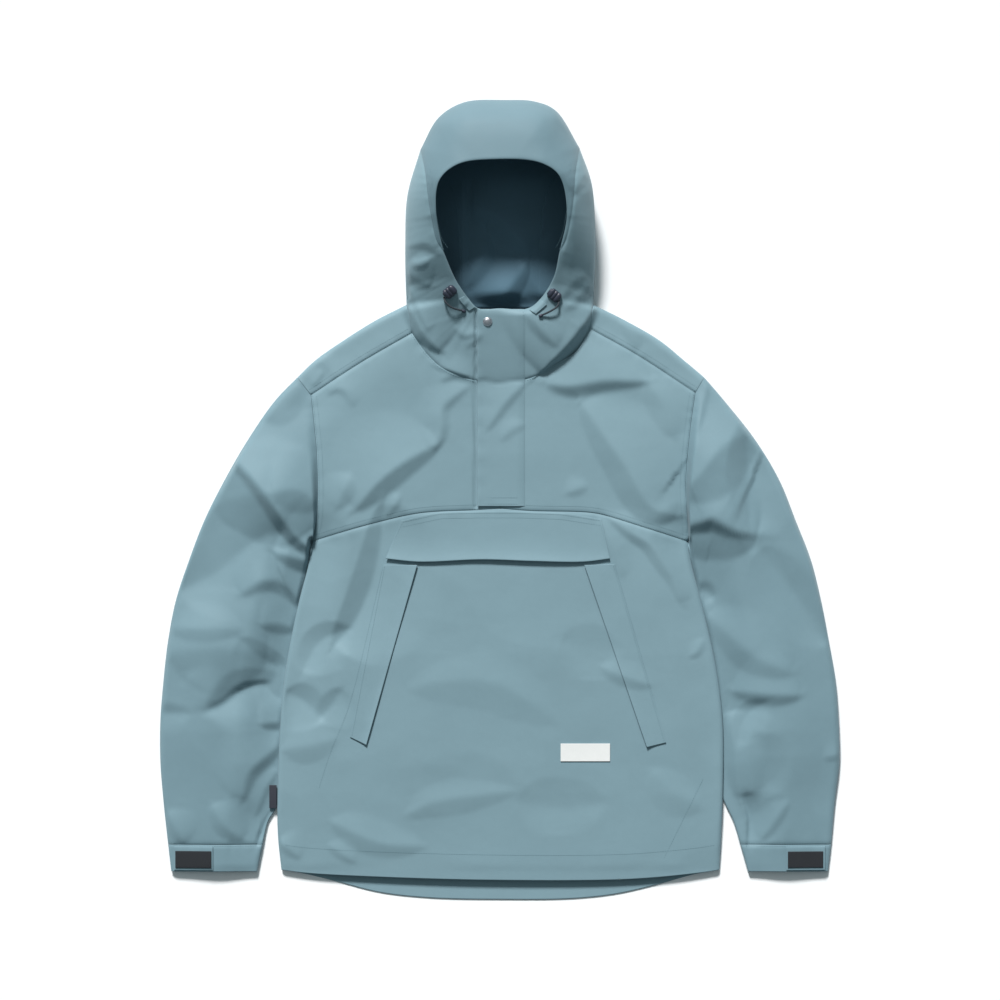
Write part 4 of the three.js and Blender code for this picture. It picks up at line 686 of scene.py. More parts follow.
def add_piece(name, mesh, materials, replaces=()):
    """Adds a mesh to the scene as a piece that rides on the garment."""
    piece = bpy.data.objects.new(name, mesh)
    bpy.context.scene.collection.objects.link(piece)
    for material in materials:
        mesh.materials.append(material)
    mesh.polygons.foreach_set("use_smooth", [True] * len(mesh.polygons))
    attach(piece, "root")
    if replaces:
        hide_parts(*replaces)
    return piece


def thicken(piece, thick, inside):
    """Gives a piece its cloth thickness, inwards, and applies it. inside: its material for the inner face."""
    wall = piece.modifiers.new("wall", "SOLIDIFY")
    wall.thickness = thick * MM
    wall.offset = -1
    wall.use_even_offset = False
    wall.material_offset = inside
    with bpy.context.temp_override(object=piece, active_object=piece):
        bpy.ops.object.modifier_apply(modifier=wall.name)
    piece.data.polygons.foreach_set("use_smooth", [True] * len(piece.data.polygons))


def cloth_piece(name, nodes, grids, cut, rests_on, thick=None, inside=0, slot="shell_cloth", kind="shell"):
    """A panel of cloth with its thickness. It may stand for several nodes that are cut in one."""
    sizes = bpy.context.scene.anorak_sizes
    mesh = sheet_mesh(name, grids)
    area = sum(face.area for face in mesh.polygons)
    piece = add_piece(name, mesh, [material(kind), material("inside")], nodes.split())
    thicken(piece, thick or sizes.cloth / MM, inside)
    width, length = (c * MM for c in cut)
    min(max(area, LEAST_SHOWN * width * length), width * length)
    return piece


# Materials
class Value:
    """A number or colour of a material that varies over the surface, for use in sums."""

    def __init__(self, look, socket):
        self.look, self.socket = look, socket

    def _sum(self, kind, *values):
        return self.look.node("ShaderNodeMath", {"operation": kind}, dict(enumerate(values)))

    def __add__(self, other):
        return self._sum("ADD", self, other)

    __radd__ = __add__

    def __sub__(self, other):
        return self._sum("SUBTRACT", self, other)

    def __rsub__(self, other):
        return self._sum("SUBTRACT", other, self)

    def __mul__(self, other):
        return self._sum("MULTIPLY", self, other)

    __rmul__ = __mul__

    def sine(self):
        return self._sum("SINE", self)

    def clamped(self):
        return self._sum("MINIMUM", self._sum("MAXIMUM", self, 0.0), 1.0)


class Look:
    """A material under construction."""

    def __init__(self, name):
        self.material = bpy.data.materials.new(name)
        self.material.use_nodes = True
        self.tree = self.material.node_tree
        self.shader = self.tree.nodes["Principled BSDF"]

    def node(self, kind, settings=(), sockets=(), output=0):
        """Adds a node: its settings first, then its sockets by number or by name."""
        node = self.tree.nodes.new(kind)
        for key, value in dict(settings).items():
            setattr(node, key, value)
        for key, value in dict(sockets).items():
            self.feed(node.inputs[key], value)
        return Value(self, node.outputs[output])

    def feed(self, socket, value):
        if isinstance(value, Value):
            self.tree.links.new(value.socket, socket)
        else:
            socket.default_value = value

    def place(self):
        """Object coordinates, in metres."""
        return self.node("ShaderNodeTexCoord", output="Object")

    def parts(self, place):
        return [self.node("ShaderNodeSeparateXYZ", {}, {0: place}, axis) for axis in "XYZ"]

    def noise(self, place, size_mm, detail=2.0, rough=0.5, warp=0.0):
        return self.node("ShaderNodeTexNoise", {}, {
            "Vector": place, "Scale": 1000 / size_mm, "Detail": detail, "Roughness": rough, "Distortion": warp})

    def tint(self, factor, low, high):
        """A colour between two colours."""
        return self.node("ShaderNodeMix", {"data_type": "RGBA"}, {0: factor, 6: low, 7: high}, 2)

    def finish(self, colour, mix, tones, rough, relief=None, **more):
        """The material: a colour mixed between two tones of it, its roughness, and its relief as height,
        strength and depth in mm."""
        sockets = {"Base Color": self.tint(mix, *(shade(colour, tone) for tone in tones)), "Roughness": rough}
        if relief:
            height, strength, depth_mm = relief
            sockets["Normal"] = self.node("ShaderNodeBump", {}, {
                "Strength": strength, "Distance": depth_mm * MM, "Height": height})
        sockets.update((name.replace("_", " "), value) for name, value in more.items())
        for name, value in sockets.items():
            self.feed(self.shader.inputs[name], value)
        return self.material


def shade(colour, factor):
    return tuple(min(1, c * factor) for c in colour[:3]) + (1,)


def woven(look, place, pitch_mm):
    """Plain weave as a height: threads of a set pitch crossing over and under."""
    x, y, _ = look.parts(place)
    turns = 2 * math.pi * 1000 / pitch_mm
    return (x * turns).sine() * (y * turns).sine() * 0.5 + 0.5


def cloth_material(name, colour, rough=0.62, weave_mm=0.7, crinkle=0.35, sheen=0.12):
    """Tightly woven shell cloth: fine weave, small crinkles and a slightly uneven dye."""
    look = Look(name)
    place = look.place()
    cloud = look.noise(place, 140, 3)
    fleck = look.noise(place, 9, 4, 0.6)
    fold = look.noise(place, 26, 5, 0.58, 0.6)
    surface = fold * crinkle + woven(look, place, weave_mm) * 0.05 + fleck * 0.06
    return look.finish(
        colour, (cloud * 0.6 + fleck * 0.4).clamped(), (0.93, 1.07), fleck * 0.14 + (rough - 0.07),
        (surface, 0.55, 1.2), Sheen_Weight=sheen, Specular_IOR_Level=0.32)


def plastic_material(name, colour):
    """Moulded plastic: fine grain and faint scuffs."""
    look = Look(name)
    place = look.place()
    grain = look.noise(place, 0.6, 2)
    scuff = look.noise(place, 6, 4, 0.65)
    return look.finish(colour, scuff, (0.8, 1.35), scuff * 0.2 + 0.32, (grain, 0.25, 0.15))


def metal_material(name, colour):
    """Satin metal cap: fine turning marks."""
    look = Look(name)
    marks = look.noise(look.place(), 1.1, 3)
    return look.finish(colour, marks, (0.92, 1.05), marks * 0.12 + 0.34, (marks, 0.12, 0.1), Metallic=1.0)


def pile_material(name, colour):
    """Hook-and-loop tape: dense short pile in rows."""
    look = Look(name)
    place = look.place()
    rows = woven(look, place, 1.6)
    pile = look.noise(place, 0.9, 3, 0.7)
    return look.finish(colour, pile, (0.72, 1.3), pile * 0.1 + 0.85, (rows * 0.5 + pile * 0.8, 0.9, 0.6))


def braid_material(name, colour):
    """Braided cord: slanting strands."""
    look = Look(name)
    x, y, z = look.parts(look.place())
    slant, other = (x + y * 0.6 + z) * 5200, (x * 0.6 - y + z) * 5200
    strand = slant.sine() * other.sine() * 0.5 + 0.5
    return look.finish(colour, strand, (0.6, 1.5), strand * 0.1 + 0.7, (strand, 0.8, 0.3))


def surface_material(name, colour):
    """Pale surface: matt and almost even."""
    look = Look(name)
    return look.finish(colour, look.noise(look.place(), 400, 2), (0.995, 1.005), 0.9, Specular_IOR_Level=0.1)


# Maker and name of each material, and for cloth its roughness, weave in mm, crinkle and sheen
MATERIALS = {
    "shell": (cloth_material, "shell cloth"),
    # Painted shade: the inside material is the shell cloth made much darker to stand for the shade in the
    # hood's hollow.
    "inside": (cloth_material, "shell cloth inside", 0.75, 0.7, 0.3, 0.0),
    # Painted shade: the sleeve cloth is the shell cloth made darker for the light that falls off towards the
    # sides.
    "sleeve": (cloth_material, "sleeve cloth"),
    # Painted shade: the hood cloth is the shell cloth made darker so that the top of the hood, which faces the
    # light most, is less bright.
    "hood": (cloth_material, "hood cloth"),
    "thread": (cloth_material, "sewing thread", 0.6, 0.4, 0.1, 0.0),
    "label": (cloth_material, "label cloth", 0.55, 0.5, 0.1, 0.0),
    "webbing": (cloth_material, "side tab webbing", 0.7, 1.0, 0.2, 0.0),
    "grip": (pile_material, "hook and loop"),
    "plastic": (plastic_material, "lock plastic"),
    "cord": (braid_material, "braided cord"),
    "metal": (metal_material, "snap metal"),
    "floor": (surface_material, "pale surface"),
}
MADE = {}


def material(kind):
    """One material of the garment, made the first time it is asked for."""
    if kind not in MADE:
        maker, name, *finish = MATERIALS[kind]
        MADE[kind] = maker(name, getattr(bpy.context.scene.anorak_colours, kind), *finish)
    return MADE[kind]


# Panels in plan
def seam_runs(side):
    """The lines in plan that the panels of one side share."""
    rows = np.array(OUTER_EDGE[side], float)
    armhole = curve(ARMHOLE[side])
    crossing = np.linspace(ARMHOLE[side][-1], rows[SHOULDER_POINT][:2], 12)
    return {
        "flank": curve(np.array(SIDE_EDGE[side])[:, :2]),
        "armhole": armhole,
        "crossing": crossing,
        "whole_armhole": joined(armhole, crossing),
        "shoulder": curve(SHOULDER_SEAM[side]),
        "shoulder_line": curve(rows[:SHOULDER_POINT + 1, :2]),
        "neck": curve(NECK_SEAM[side]),
        "chest": curve(CHEST_SEAM[side]),
        "outer": curve(rows[SHOULDER_POINT:, :2]),
        "inner": curve(np.array(INNER_EDGE[side], float)[:, :2]),
    }


RUNS = {side: seam_runs(side) for side in SIDES}
BODY_FRONT, BODY_BACK = both_halves(front_height), both_halves(back_height)
# Rough size of each grid, across and up, which sets how many lines it gets
SPANS = {
    "front_lower": (570, 460), "front_upper": (250, 180), "back": (570, 650), "back_shoulder": (150, 36),
    "sleeve": (150, 500), "cuff": (150, 35), "hood_side": 100, "hood_side_floor": 50, "hood_middle": (260, 140),
    "hood_middle_floor": 220}
BACK_STEP, FLOOR_COARSER, CUFF_FINER = 7, 1.3, 0.8


def collar_or_body(x, y):
    """Height of the front or, above the neck seam, of the collar."""
    return np.where(y < neck_y(x), BODY_FRONT(x, y), hood_height(x, y))


def step():
    """Distance between the points of a panel, in mm."""
    return bpy.context.scene.anorak_sizes.mesh_step / MM


def front_grids():
    """Grids of the three front panels by node."""
    wide, tall = SPANS["front_lower"]
    us, vs = spread(wide, step(), ROLL_LINES, ROLL_LINES), spread(tall, step(), HEM_LINES, SEAM_LINES)
    flanks = (RUNS[side]["flank"] for side in SIDES)
    lower = raised(patch(curve(FRONT_HEM), across(CHEST_SEAM), *flanks, us, vs), BODY_FRONT)
    grids = {"front_lower": [(pulled_in(lower, "nwe"), 1)]}
    wide, tall = SPANS["front_upper"]
    for side in SIDES:
        runs = RUNS[side]
        north = joined(runs["shoulder"], runs["neck"])
        corner = lengths(runs["shoulder"])[-1] / lengths(north)[-1]
        us = snap_to(spread(wide, step(), SEAM_LINES, HEM_LINES), corner)
        vs = spread(tall, step(), SEAM_LINES, SEAM_LINES)
        centre = np.array([(0.0, -11), (0, 151)])
        plan = patch(runs["chest"], north, runs["armhole"], centre, us, vs)
        grids["front_upper_" + side] = [(pulled_in(raised(plan, BODY_FRONT), "snwe"), 1)]
    return grids


def back_grids():
    """Grids of the back panel: the under side and the two strips that turn over the shoulders."""
    left, right = RUNS["left"], RUNS["right"]
    neck = {}
    for side, sign in SIDES.items():
        x, y = RUNS[side]["shoulder_line"][0]
        neck[side] = np.array([(x, y), (x - sign * HOOD_TURN_UNDER, NECK_BACK_Y)])
    top = joined(
        left["shoulder_line"][::-1], neck["left"], np.array([neck["left"][1], neck["right"][1]]),
        neck["right"][::-1], right["shoulder_line"])
    wide, tall = SPANS["back"]
    us = spread(wide, BACK_STEP, ROLL_LINES, ROLL_LINES)
    for share in (lengths(left["shoulder_line"])[-1] / lengths(top)[-1],
                  1 - lengths(right["shoulder_line"])[-1] / lengths(top)[-1]):
        us = snap_to(us, share)
    vs = spread(tall, BACK_STEP, HEM_LINES, ROLL_LINES)
    west = joined(left["flank"], left["whole_armhole"])
    east = joined(right["flank"], right["whole_armhole"])
    under = raised(patch(curve(BACK_HEM), top, west, east, us, vs), BODY_BACK)
    grids = [(pulled_in(under, "nwe"), -1)]
    wide, tall = SPANS["back_shoulder"]
    for side in SIDES:
        runs = RUNS[side]
        rise = np.array([runs["shoulder"][-1], runs["shoulder_line"][0]])
        us = spread(wide, step(), SEAM_LINES, SEAM_LINES)
        vs = spread(tall, step(), SEAM_LINES, ROLL_LINES)
        plan = patch(runs["shoulder"], runs["shoulder_line"][::-1], runs["crossing"], rise, us, vs)
        grids.append((pulled_in(raised(plan, BODY_FRONT), "swe"), 1))
    return grids


def edge_at(rows, y):
    """Place on a sleeve's edge at one distance up the garment."""
    rows = np.array(rows, float)[::-1]
    return np.array([np.interp(y, rows[:, 1], rows[:, 0]), y])


def cut_at(run, y, corner):
    """The part of a run above a distance up the garment, down to its new corner."""
    return np.vstack([run[run[:, 1] > y + 0.5], corner])


def sleeve_grids(side):
    """Grids of one sleeve and its cuff, upper and under sides."""
    runs = RUNS[side]
    upper, lower = (partial(face, "sleeve_" + side) for face in (front_height, back_height))
    wide, tall = SPANS["sleeve"]
    ends = {y: (edge_at(INNER_EDGE[side], y), edge_at(OUTER_EDGE[side], y)) for y in (CUFF_SEAM_Y, CUFF_END_Y)}
    cuff = np.linspace(*ends[CUFF_SEAM_Y], 30)
    inner = cut_at(runs["inner"], CUFF_SEAM_Y, ends[CUFF_SEAM_Y][0])[::-1]
    outer = cut_at(runs["outer"], CUFF_SEAM_Y, ends[CUFF_SEAM_Y][1])[::-1]
    corner = lengths(runs["armhole"])[-1] / lengths(runs["whole_armhole"])[-1]
    us = snap_to(spread(wide, step(), ROLL_LINES[:4], ROLL_LINES), corner)
    vs = spread(tall, step(), SEAM_LINES, SEAM_LINES)
    plan = patch(cuff, runs["whole_armhole"], inner, outer, us, vs)
    top = raised(plan, upper)
    # At the armhole the sleeve meets the body
    seam = plan[-1]
    jump = front_height("body_" + side, seam[:, 0], seam[:, 1]) - top[-1, :, 2]
    folded = crease_height("b", seam[:, 0], seam[:, 1]) - crease_height("s", seam[:, 0], seam[:, 1])
    away = np.linalg.norm(np.diff(plan, axis=0), axis=2)[::-1].cumsum(axis=0)[::-1]
    away = np.vstack([away, np.zeros(len(us))])
    top[..., 2] += (jump - folded) * (1 - ease(away / ARMHOLE_FORM)) + folded * (1 - ease(away / ARMHOLE_FOLDS))
    sleeve = [(pulled_in(top, "sn"), 1), (pulled_in(raised(plan, lower), "sn"), -1)]
    vs = spread(SPANS["cuff"][1], step() * CUFF_FINER, (1, 2.5), SEAM_LINES)
    band = patch(
        np.linspace(*ends[CUFF_END_Y], 30), cuff, np.array([ends[CUFF_END_Y][0], ends[CUFF_SEAM_Y][0]]),
        np.array([ends[CUFF_END_Y][1], ends[CUFF_SEAM_Y][1]]), us, vs)
    return sleeve, [(pulled_in(raised(band, upper), "n"), 1), (pulled_in(raised(band, lower), "n"), -1)]


def turned_under(outline, inwards):
    """Rows from the hood's outline down and in to the surface that it rests on."""
    rows = []
    for t in (0, 0.04, 0.12, 0.25, 0.4, 0.6, 0.8, 1):
        place = outline.copy()
        place[:, :2] += inwards * t * HOOD_TURN_UNDER
        place[:, 2] *= 1 - round_over(np.array(t))
        rows.append(place)
    return np.stack(rows)


def inwards_of(line):
    """Which way is square off a line towards the middle of the hood, at each of its points."""
    way = np.gradient(line[:, :2], axis=0)
    normal = np.column_stack([-way[:, 1], way[:, 0]])
    normal /= np.maximum(np.linalg.norm(normal, axis=1), 1e-9)[:, None]
    towards = np.array(HOOD_MIDDLE[:2]) - line[:, :2]
    return normal * np.sign(np.sum(normal * towards, axis=1))[:, None]


def hood_floor(x, y):
    """Height of the hood's back, which lies on the surface, with the folds that show inside it."""
    (half, side), (start, start_over), (stop, stop_over) = HOOD_FLOOR.values()
    middle = ease((half - abs(x)) / side) * ease((y - start) / start_over) * ease((stop - y) / stop_over)
    (swell_x, swell_y), (wide, long) = FLOOR_SWELL["place"], FLOOR_SWELL["size"]
    swell = FLOOR_SWELL["high"] * np.exp(-(((x - swell_x) / wide) ** 2) - ((y - swell_y) / long) ** 2)
    high, *wave = FLOOR_RIPPLE
    return np.maximum(0, (crease_height("i", x, y) + swell + high * (1 + ripple(x, y, *wave))) * middle)


def hood_grids():
    """Grids of the hood's two sides and its middle strip."""
    wide, tall = SPANS["hood_middle"]
    us_top = spread(wide, step(), SEAM_LINES, SEAM_LINES)
    grids = {}
    top_line = smoothed(HOOD_OUTLINE_TOP, 10)
    top = at(top_line, us_top)
    top_in = inwards_of(top)
    seams, back_seams, corners = {}, {}, {}
    for side, sign in SIDES.items():
        outline_line = smoothed(HOOD_OUTLINE_SIDE[side], 10)
        neck = joined(
            RUNS[side]["neck"][::-1], np.linspace(NECK_SEAM[side][0], HOOD_OUTLINE_SIDE[side][0][:2], 10))
        south = joined(neck, outline_line[:, :2])
        corner = lengths(neck)[-1] / lengths(south)[-1]
        low = curve(np.array(FACE_EDGE_LOW[side], float)[:, :2])
        seams[side] = curve(HOOD_SEAM_FRONT[side])
        north = joined(low, seams[side])
        turn = lengths(low)[-1] / lengths(north)[-1]
        us = snap_to(spread(lengths(south)[-1], step(), HEM_LINES, SEAM_LINES), corner)
        # The two runs turn at different shares, so the north run is read with its own shares
        shares_north = np.interp(us, [0, corner, 1], [0, turn, 1])
        vs = spread(SPANS["hood_side"], step(), ROLL_LINES, ROLL_LINES[:4])
        west, east = at(np.array([south[0], north[0]]), vs), np.repeat(south[-1:], len(vs), axis=0)
        plan = filled(at(south, us), at(north, shares_north), west, east, us, vs)
        side_top = raised(plan, hood_height)
        k = int(np.argmin(abs(us - corner)))
        rim = side_top[0, k:]
        inwards = inwards_of(rim)
        inwards[-1] = top_in[0 if side == "left" else -1]
        inwards[0] = (-sign, -0.3)
        turned = turned_under(rim, inwards)
        ground = turned[-1]
        foot = np.array([sign * HOOD_SEAM_BACK_X, NECK_BACK_Y])
        back_seams[side] = curve([
            foot, *((sign * (HOOD_SEAM_BACK_X + out), y) for out, y in HOOD_SEAM_BACK), ground[-1, :2]])
        plan = patch(
            back_seams[side], ground[:, :2], np.array([foot, ground[0, :2]]),
            np.array([ground[-1, :2], ground[-1, :2]]), np.linspace(0, 1, len(ground)),
            spread(SPANS["hood_side_floor"], step() * FLOOR_COARSER, HEM_LINES, HEM_LINES))
        floor = raised(plan, hood_floor)
        grids["hood_" + side] = [
            (pulled_in(side_top, "w"), 1), (turned, HOOD_MIDDLE), (floor, -1)]
        corners[side] = rim[-1]
    top3 = raised(top[None], hood_height)[0]
    top3[0], top3[-1] = corners["left"], corners["right"]
    face = curve(np.array(FACE_EDGE_TOP, float)[:, :2])
    vs = spread(tall, step(), ROLL_LINES[:4], ROLL_LINES)
    brim = raised(patch(face, top_line[:, :2], seams["left"], seams["right"], us_top, vs), hood_height)
    turned = turned_under(brim[-1], top_in)
    ground = turned[-1]
    foot = np.array([(-HOOD_SEAM_BACK_X, NECK_BACK_Y), (HOOD_SEAM_BACK_X, NECK_BACK_Y)], float)
    vs = spread(SPANS["hood_middle_floor"], step() * FLOOR_COARSER)
    plan = patch(foot, ground[:, :2], back_seams["left"], back_seams["right"], us_top, vs)
    grids["hood_middle"] = [
        (pulled_in(brim, "we"), 1), (turned, HOOD_MIDDLE), (raised(plan, hood_floor), -1)]
    return grids


def laid_piece(name, node, ends, us, vs, height, lift, cut, rests_on, *thick, **more):
    """A panel laid on others: its plan between the runs at its two ends, its upper side lifted off theirs."""
    south, north = (at(np.array(end, float), us) for end in ends)
    v = vs[:, None, None]
    grid = raised(south[None] * (1 - v) + north[None] * v, height)
    grid[..., 2] += lift(us[None, :], vs[:, None])
    return cloth_piece(name, node, [(grid, 1)], cut, [rests_on], *thick, **more)


def rectangle(x, y, width, height):
    """The lower and the upper end of a rectangle round a place."""
    low, high = y - height / 2, y + height / 2
    left, right = x - width / 2, x + width / 2
    return [(left, low), (right, low)], [(left, high), (right, high)]


def surface_frame(height, x, y, reach, turn, gap):
    """A place on a surface with its tilt over a reach, as a matrix in metres."""
    xs = np.array([x, x + reach, x - reach, x, x], float)
    ys = np.array([y, y, y, y + reach, y - reach], float)
    z = height(xs, ys)
    up = Vector((-(z[1] - z[2]) / (2 * reach), -(z[3] - z[4]) / (2 * reach), 1)).normalized()
    ahead = Vector((math.cos(turn), math.sin(turn), 0))
    ahead = (ahead - up * ahead.dot(up)).normalized()
    across = up.cross(ahead)
    place = Vector((x, y, z[0])) * MM + up * (gap * MM)
    turned = Matrix((ahead, across, up)).transposed().to_4x4()
    return Matrix.Translation(place) @ turned


def turned_rings(profile, steps):
    """Rings round the Z axis from rows of radius and height; a radius of 0 is one place."""
    angles = np.arange(steps) * 2 * math.pi / steps
    return [
        [(radius * math.cos(a), radius * math.sin(a), height) for a in angles] if radius else [(0, 0, height)]
        for radius, height in profile]


def lock_rings():
    """Rings along the X axis, each an oval with flattened sides; the ends are one place."""
    angles = np.arange(LOCK_STEPS) * 2 * math.pi / LOCK_STEPS
    waves = [(math.cos(a), math.sin(a)) for a in angles]
    flat = [[math.copysign(abs(w) ** LOCK_SQUARENESS, w) for w in pair] for pair in waves]
    return [
        [(x, c * half_width, s * half_height) for c, s in flat] if half_width else [(x, 0, 0)]
        for x, half_width, half_height in LOCK_RINGS]


def ringed(name, rings, kind, node):
    """A closed piece through rings of places in mm, that begins and ends with one place."""
    steps = max(len(ring) for ring in rings)
    places, numbers, loops = [], [], []
    for ring in rings:
        numbers.append([len(places) + k % len(ring) for k in range(steps)])
        places += [tuple(c * MM for c in place) for place in ring]
    for low, high in zip(numbers, numbers[1:]):
        for i in range(steps):
            j = (i + 1) % steps
            loop = [low[i], low[j], high[j], high[i]]
            loops.append([v for k, v in enumerate(loop) if v != loop[k - 1]])
    mesh = bpy.data.meshes.new(name)
    mesh.from_pydata(places, [], loops)
    return add_piece(name, mesh, [material(kind)], [node])


# Stitches
def stitched(name, lines):
    """Rows of stitches: each line is a run of plan places with the height that it lies on."""
    places, loops = [], []
    length, pitch = STITCH_LENGTH, STITCH_PITCH
    ring = [(math.cos(a) * STITCH_RADIUS, math.sin(a) * STITCH_RADIUS) for a in np.arange(5) * 2 * math.pi / 5]
    for run, height in lines:
        run = np.array(run, float)
        whole = lengths(run)[-1]
        count = int(whole // pitch)
        if count < 1:
            continue
        starts = (np.arange(count) * pitch + (whole - count * pitch) / 2 + (pitch - length) / 2) / whole
        shares = np.concatenate([starts, starts + length / whole * 0.5, starts + length / whole])
        plan = at(run, shares)
        z = height(plan[:, 0], plan[:, 1])
        points = np.column_stack([plan, z]).reshape(3, count, 3)
        for a, b, c in zip(*points):
            way = c - a
            way /= np.linalg.norm(way)
            cross = np.cross(way, (0, 0, 1))
            cross /= np.linalg.norm(cross)
            up = np.cross(cross, way)
            first = len(places)
            places.append(a - up * 0.15)
            for end, share in ((a + way * 0.35, 0.75), (b, 1.0), (c - way * 0.35, 0.75)):
                centre = end + up * (0.1 + 0.1 * (share == 1.0))
                places.extend(centre + (cross * u + up * v) * share for u, v in ring)
            places.append(c - up * 0.15)
            last = first + 1 + 15
            for i in range(5):
                j = (i + 1) % 5
                loops.append((first, first + 1 + j, first + 1 + i))
                loops.append((last, first + 11 + i, first + 11 + j))
                for r in (0, 5):
                    loops.append((first + 1 + r + i, first + 1 + r + j, first + 6 + r + j, first + 6 + r + i))
    mesh = bpy.data.meshes.new(name)
    mesh.from_pydata([tuple(p * MM) for p in places], [], loops)
    return add_piece(name, mesh, [material("thread")])


def beside(run, distance, fine=60):
    """A run in plan moved sideways, to the left of its way by a distance."""
    line = at(np.array(run, float)[:, :2], np.linspace(0, 1, fine))
    way = np.gradient(line, axis=0)
    way /= np.maximum(np.linalg.norm(way, axis=1), 1e-9)[:, None]
    return line + np.column_stack([-way[:, 1], way[:, 0]]) * distance


# Settings
def length(name, description, default):
    return FloatProperty(name=name, description=description, default=default, unit="LENGTH")


def colour(name, description, *rgb):
    return FloatVectorProperty(name=name, description=description, default=(*rgb, 1), size=4, subtype="COLOR")


class ANORAK_PG_sizes(PropertyGroup):
    """Sizes that a maker would change."""
    cloth: length("Cloth thickness", "Thickness of the shell cloth", 0.001)
    mesh_step: length("Mesh step", "Distance between the points of a panel", 0.0032)
    camera_height: length("Camera height", "Height of the camera over the surface", 4.0)
    view_width: length("View width", "Width of the surface that the camera sees", 1.3)
    crease_strength: FloatProperty(
        name="Crease strength", description="How deep the creases are, 1 as placed", default=1.0,
        subtype="FACTOR")


class ANORAK_PG_colours(PropertyGroup):
    """Colours of the garment's materials. Those of the sleeves, of the hood middle and of the inside are darker
    copies of the shell cloth, as painted shade.
    """
    shell: colour("Shell", "Outside of the shell cloth", 0.197, 0.306, 0.35)
    # Painted shade: the sleeves and cuffs are the same cloth as the shell, made darker for the light that falls
    # off towards the sides.
    sleeve: colour("Sleeves", "Shell cloth of the sleeves", 0.175, 0.277, 0.32)
    # Painted shade: the strip over the hood is the same cloth as the shell, made darker so that its top, which
    # faces the light most, is less bright.
    hood: colour("Hood middle", "Shell cloth of the strip over the hood", 0.144, 0.232, 0.27)
    # Painted shade: the inside face is the same cloth as the shell, made much darker to stand for the shade in
    # the hood's hollow.
    inside: colour("Inside", "Inside face of the shell cloth", 0.085, 0.166, 0.222)
    thread: colour("Thread", "Sewing thread", 0.15, 0.25, 0.29)
    label: colour("Label", "Blank woven label", 0.82, 0.82, 0.8)
    webbing: colour("Side tab", "Blank side tab", 0.035, 0.038, 0.05)
    grip: colour("Hook and loop", "Cuff fastening", 0.019, 0.0215, 0.026)
    plastic: colour("Locks", "Cord locks and tips", 0.03, 0.035, 0.055)
    cord: colour("Cord", "Drawcord", 0.03, 0.04, 0.05)
    metal: colour("Snap", "Snap cap", 0.62, 0.62, 0.66)
    floor: colour("Surface", "Surface that the garment lies on", 0.955, 0.955, 0.955)


# Operators
class ANORAK_OT_stage(Operator):
    """Sets up the camera overhead, the pale surface and the soft light"""
    bl_idname = "anorak.stage"
    bl_label = "Stage"

    def execute(self, context):
        scene = context.scene
        sizes = scene.anorak_sizes
        lens = bpy.data.cameras.new("overhead")
        lens.sensor_width = SENSOR_WIDTH
        lens.lens = SENSOR_WIDTH * sizes.camera_height / sizes.view_width
        lens.clip_end = FAR_END
        camera = bpy.data.objects.new("overhead", lens)
        camera.location = (0, 0, sizes.camera_height)
        scene.collection.objects.link(camera)
        scene.camera = camera

        mesh = bpy.data.meshes.new("surface")
        turns = ((-1, -1), (1, -1), (1, 1), (-1, 1))
        mesh.from_pydata([(x * FLOOR_HALF, y * FLOOR_HALF, -FLOOR_DROP) for x, y in turns], [], [(0, 1, 2, 3)])
        mesh.materials.append(material("floor"))
        floor = bpy.data.objects.new("surface", mesh)
        scene.collection.objects.link(floor)

        scene.view_settings.view_transform = "Standard"
        scene.view_settings.look = "None"
        world = bpy.data.worlds.new("soft room")
        world.use_nodes = True
        glow = world.node_tree.nodes["Background"].inputs
        glow["Color"].default_value, glow["Strength"].default_value = FILL_COLOUR, FILL
        scene.world = world
        for name, place, spread_deg, power in LAMPS:
            light = bpy.data.lights.new(name, "SUN")
            light.angle = math.radians(spread_deg)
            light.energy = power
            lamp = bpy.data.objects.new(name, light)
            lamp.location = place
            lamp.rotation_mode = "QUATERNION"
            lamp.rotation_quaternion = (-Vector(place)).to_track_quat("-Z", "Y")
            scene.collection.objects.link(lamp)
        return {"FINISHED"}


class ANORAK_OT_cords(Operator):
    """Makes the free ends of the drawcord with their tips"""
    bl_idname = "anorak.cords"
    bl_label = "Cord ends"

    def execute(self, context):
        for side, lock in LOCKS.items():
            x, y = np.transpose(lock["route"])
            arch = CORD_LIFT * np.sin(np.pi * np.arange(4) / 3)
            z = hood_height(x, y) + CORD_REST + arch
            route = curve(np.column_stack([x, y, z]), 8)
            shape = bpy.data.curves.new("cord_end_" + side, "CURVE")
            shape.dimensions = "3D"
            spline = shape.splines.new("POLY")
            spline.points.add(len(route) - 1)
            for point, place in zip(spline.points, route):
                point.co = (*(place * MM), 1)
            shape.bevel_depth = CORD_RADIUS * MM
            shape.bevel_resolution = 4
            shape.use_fill_caps = True
            shape.materials.append(material("cord"))
            cord = bpy.data.objects.new("cord_end_" + side, shape)
            context.scene.collection.objects.link(cord)
            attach(cord, "root")
            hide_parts("cord_" + side)

            way = Vector(route[-1] - route[-3]).normalized()
            rings = turned_rings(CORD_TIP, 20)
            tip = ringed("cord_cap_" + side, rings, "plastic", "cord_tip_" + side)
            turn = Vector((0, 0, 1)).rotation_difference(way).to_matrix().to_4x4()
            tip.data.transform(Matrix.Translation(Vector(route[-1] * MM) - way * (CORD_INTO_TIP * MM)) @ turn)
        return {"FINISHED"}


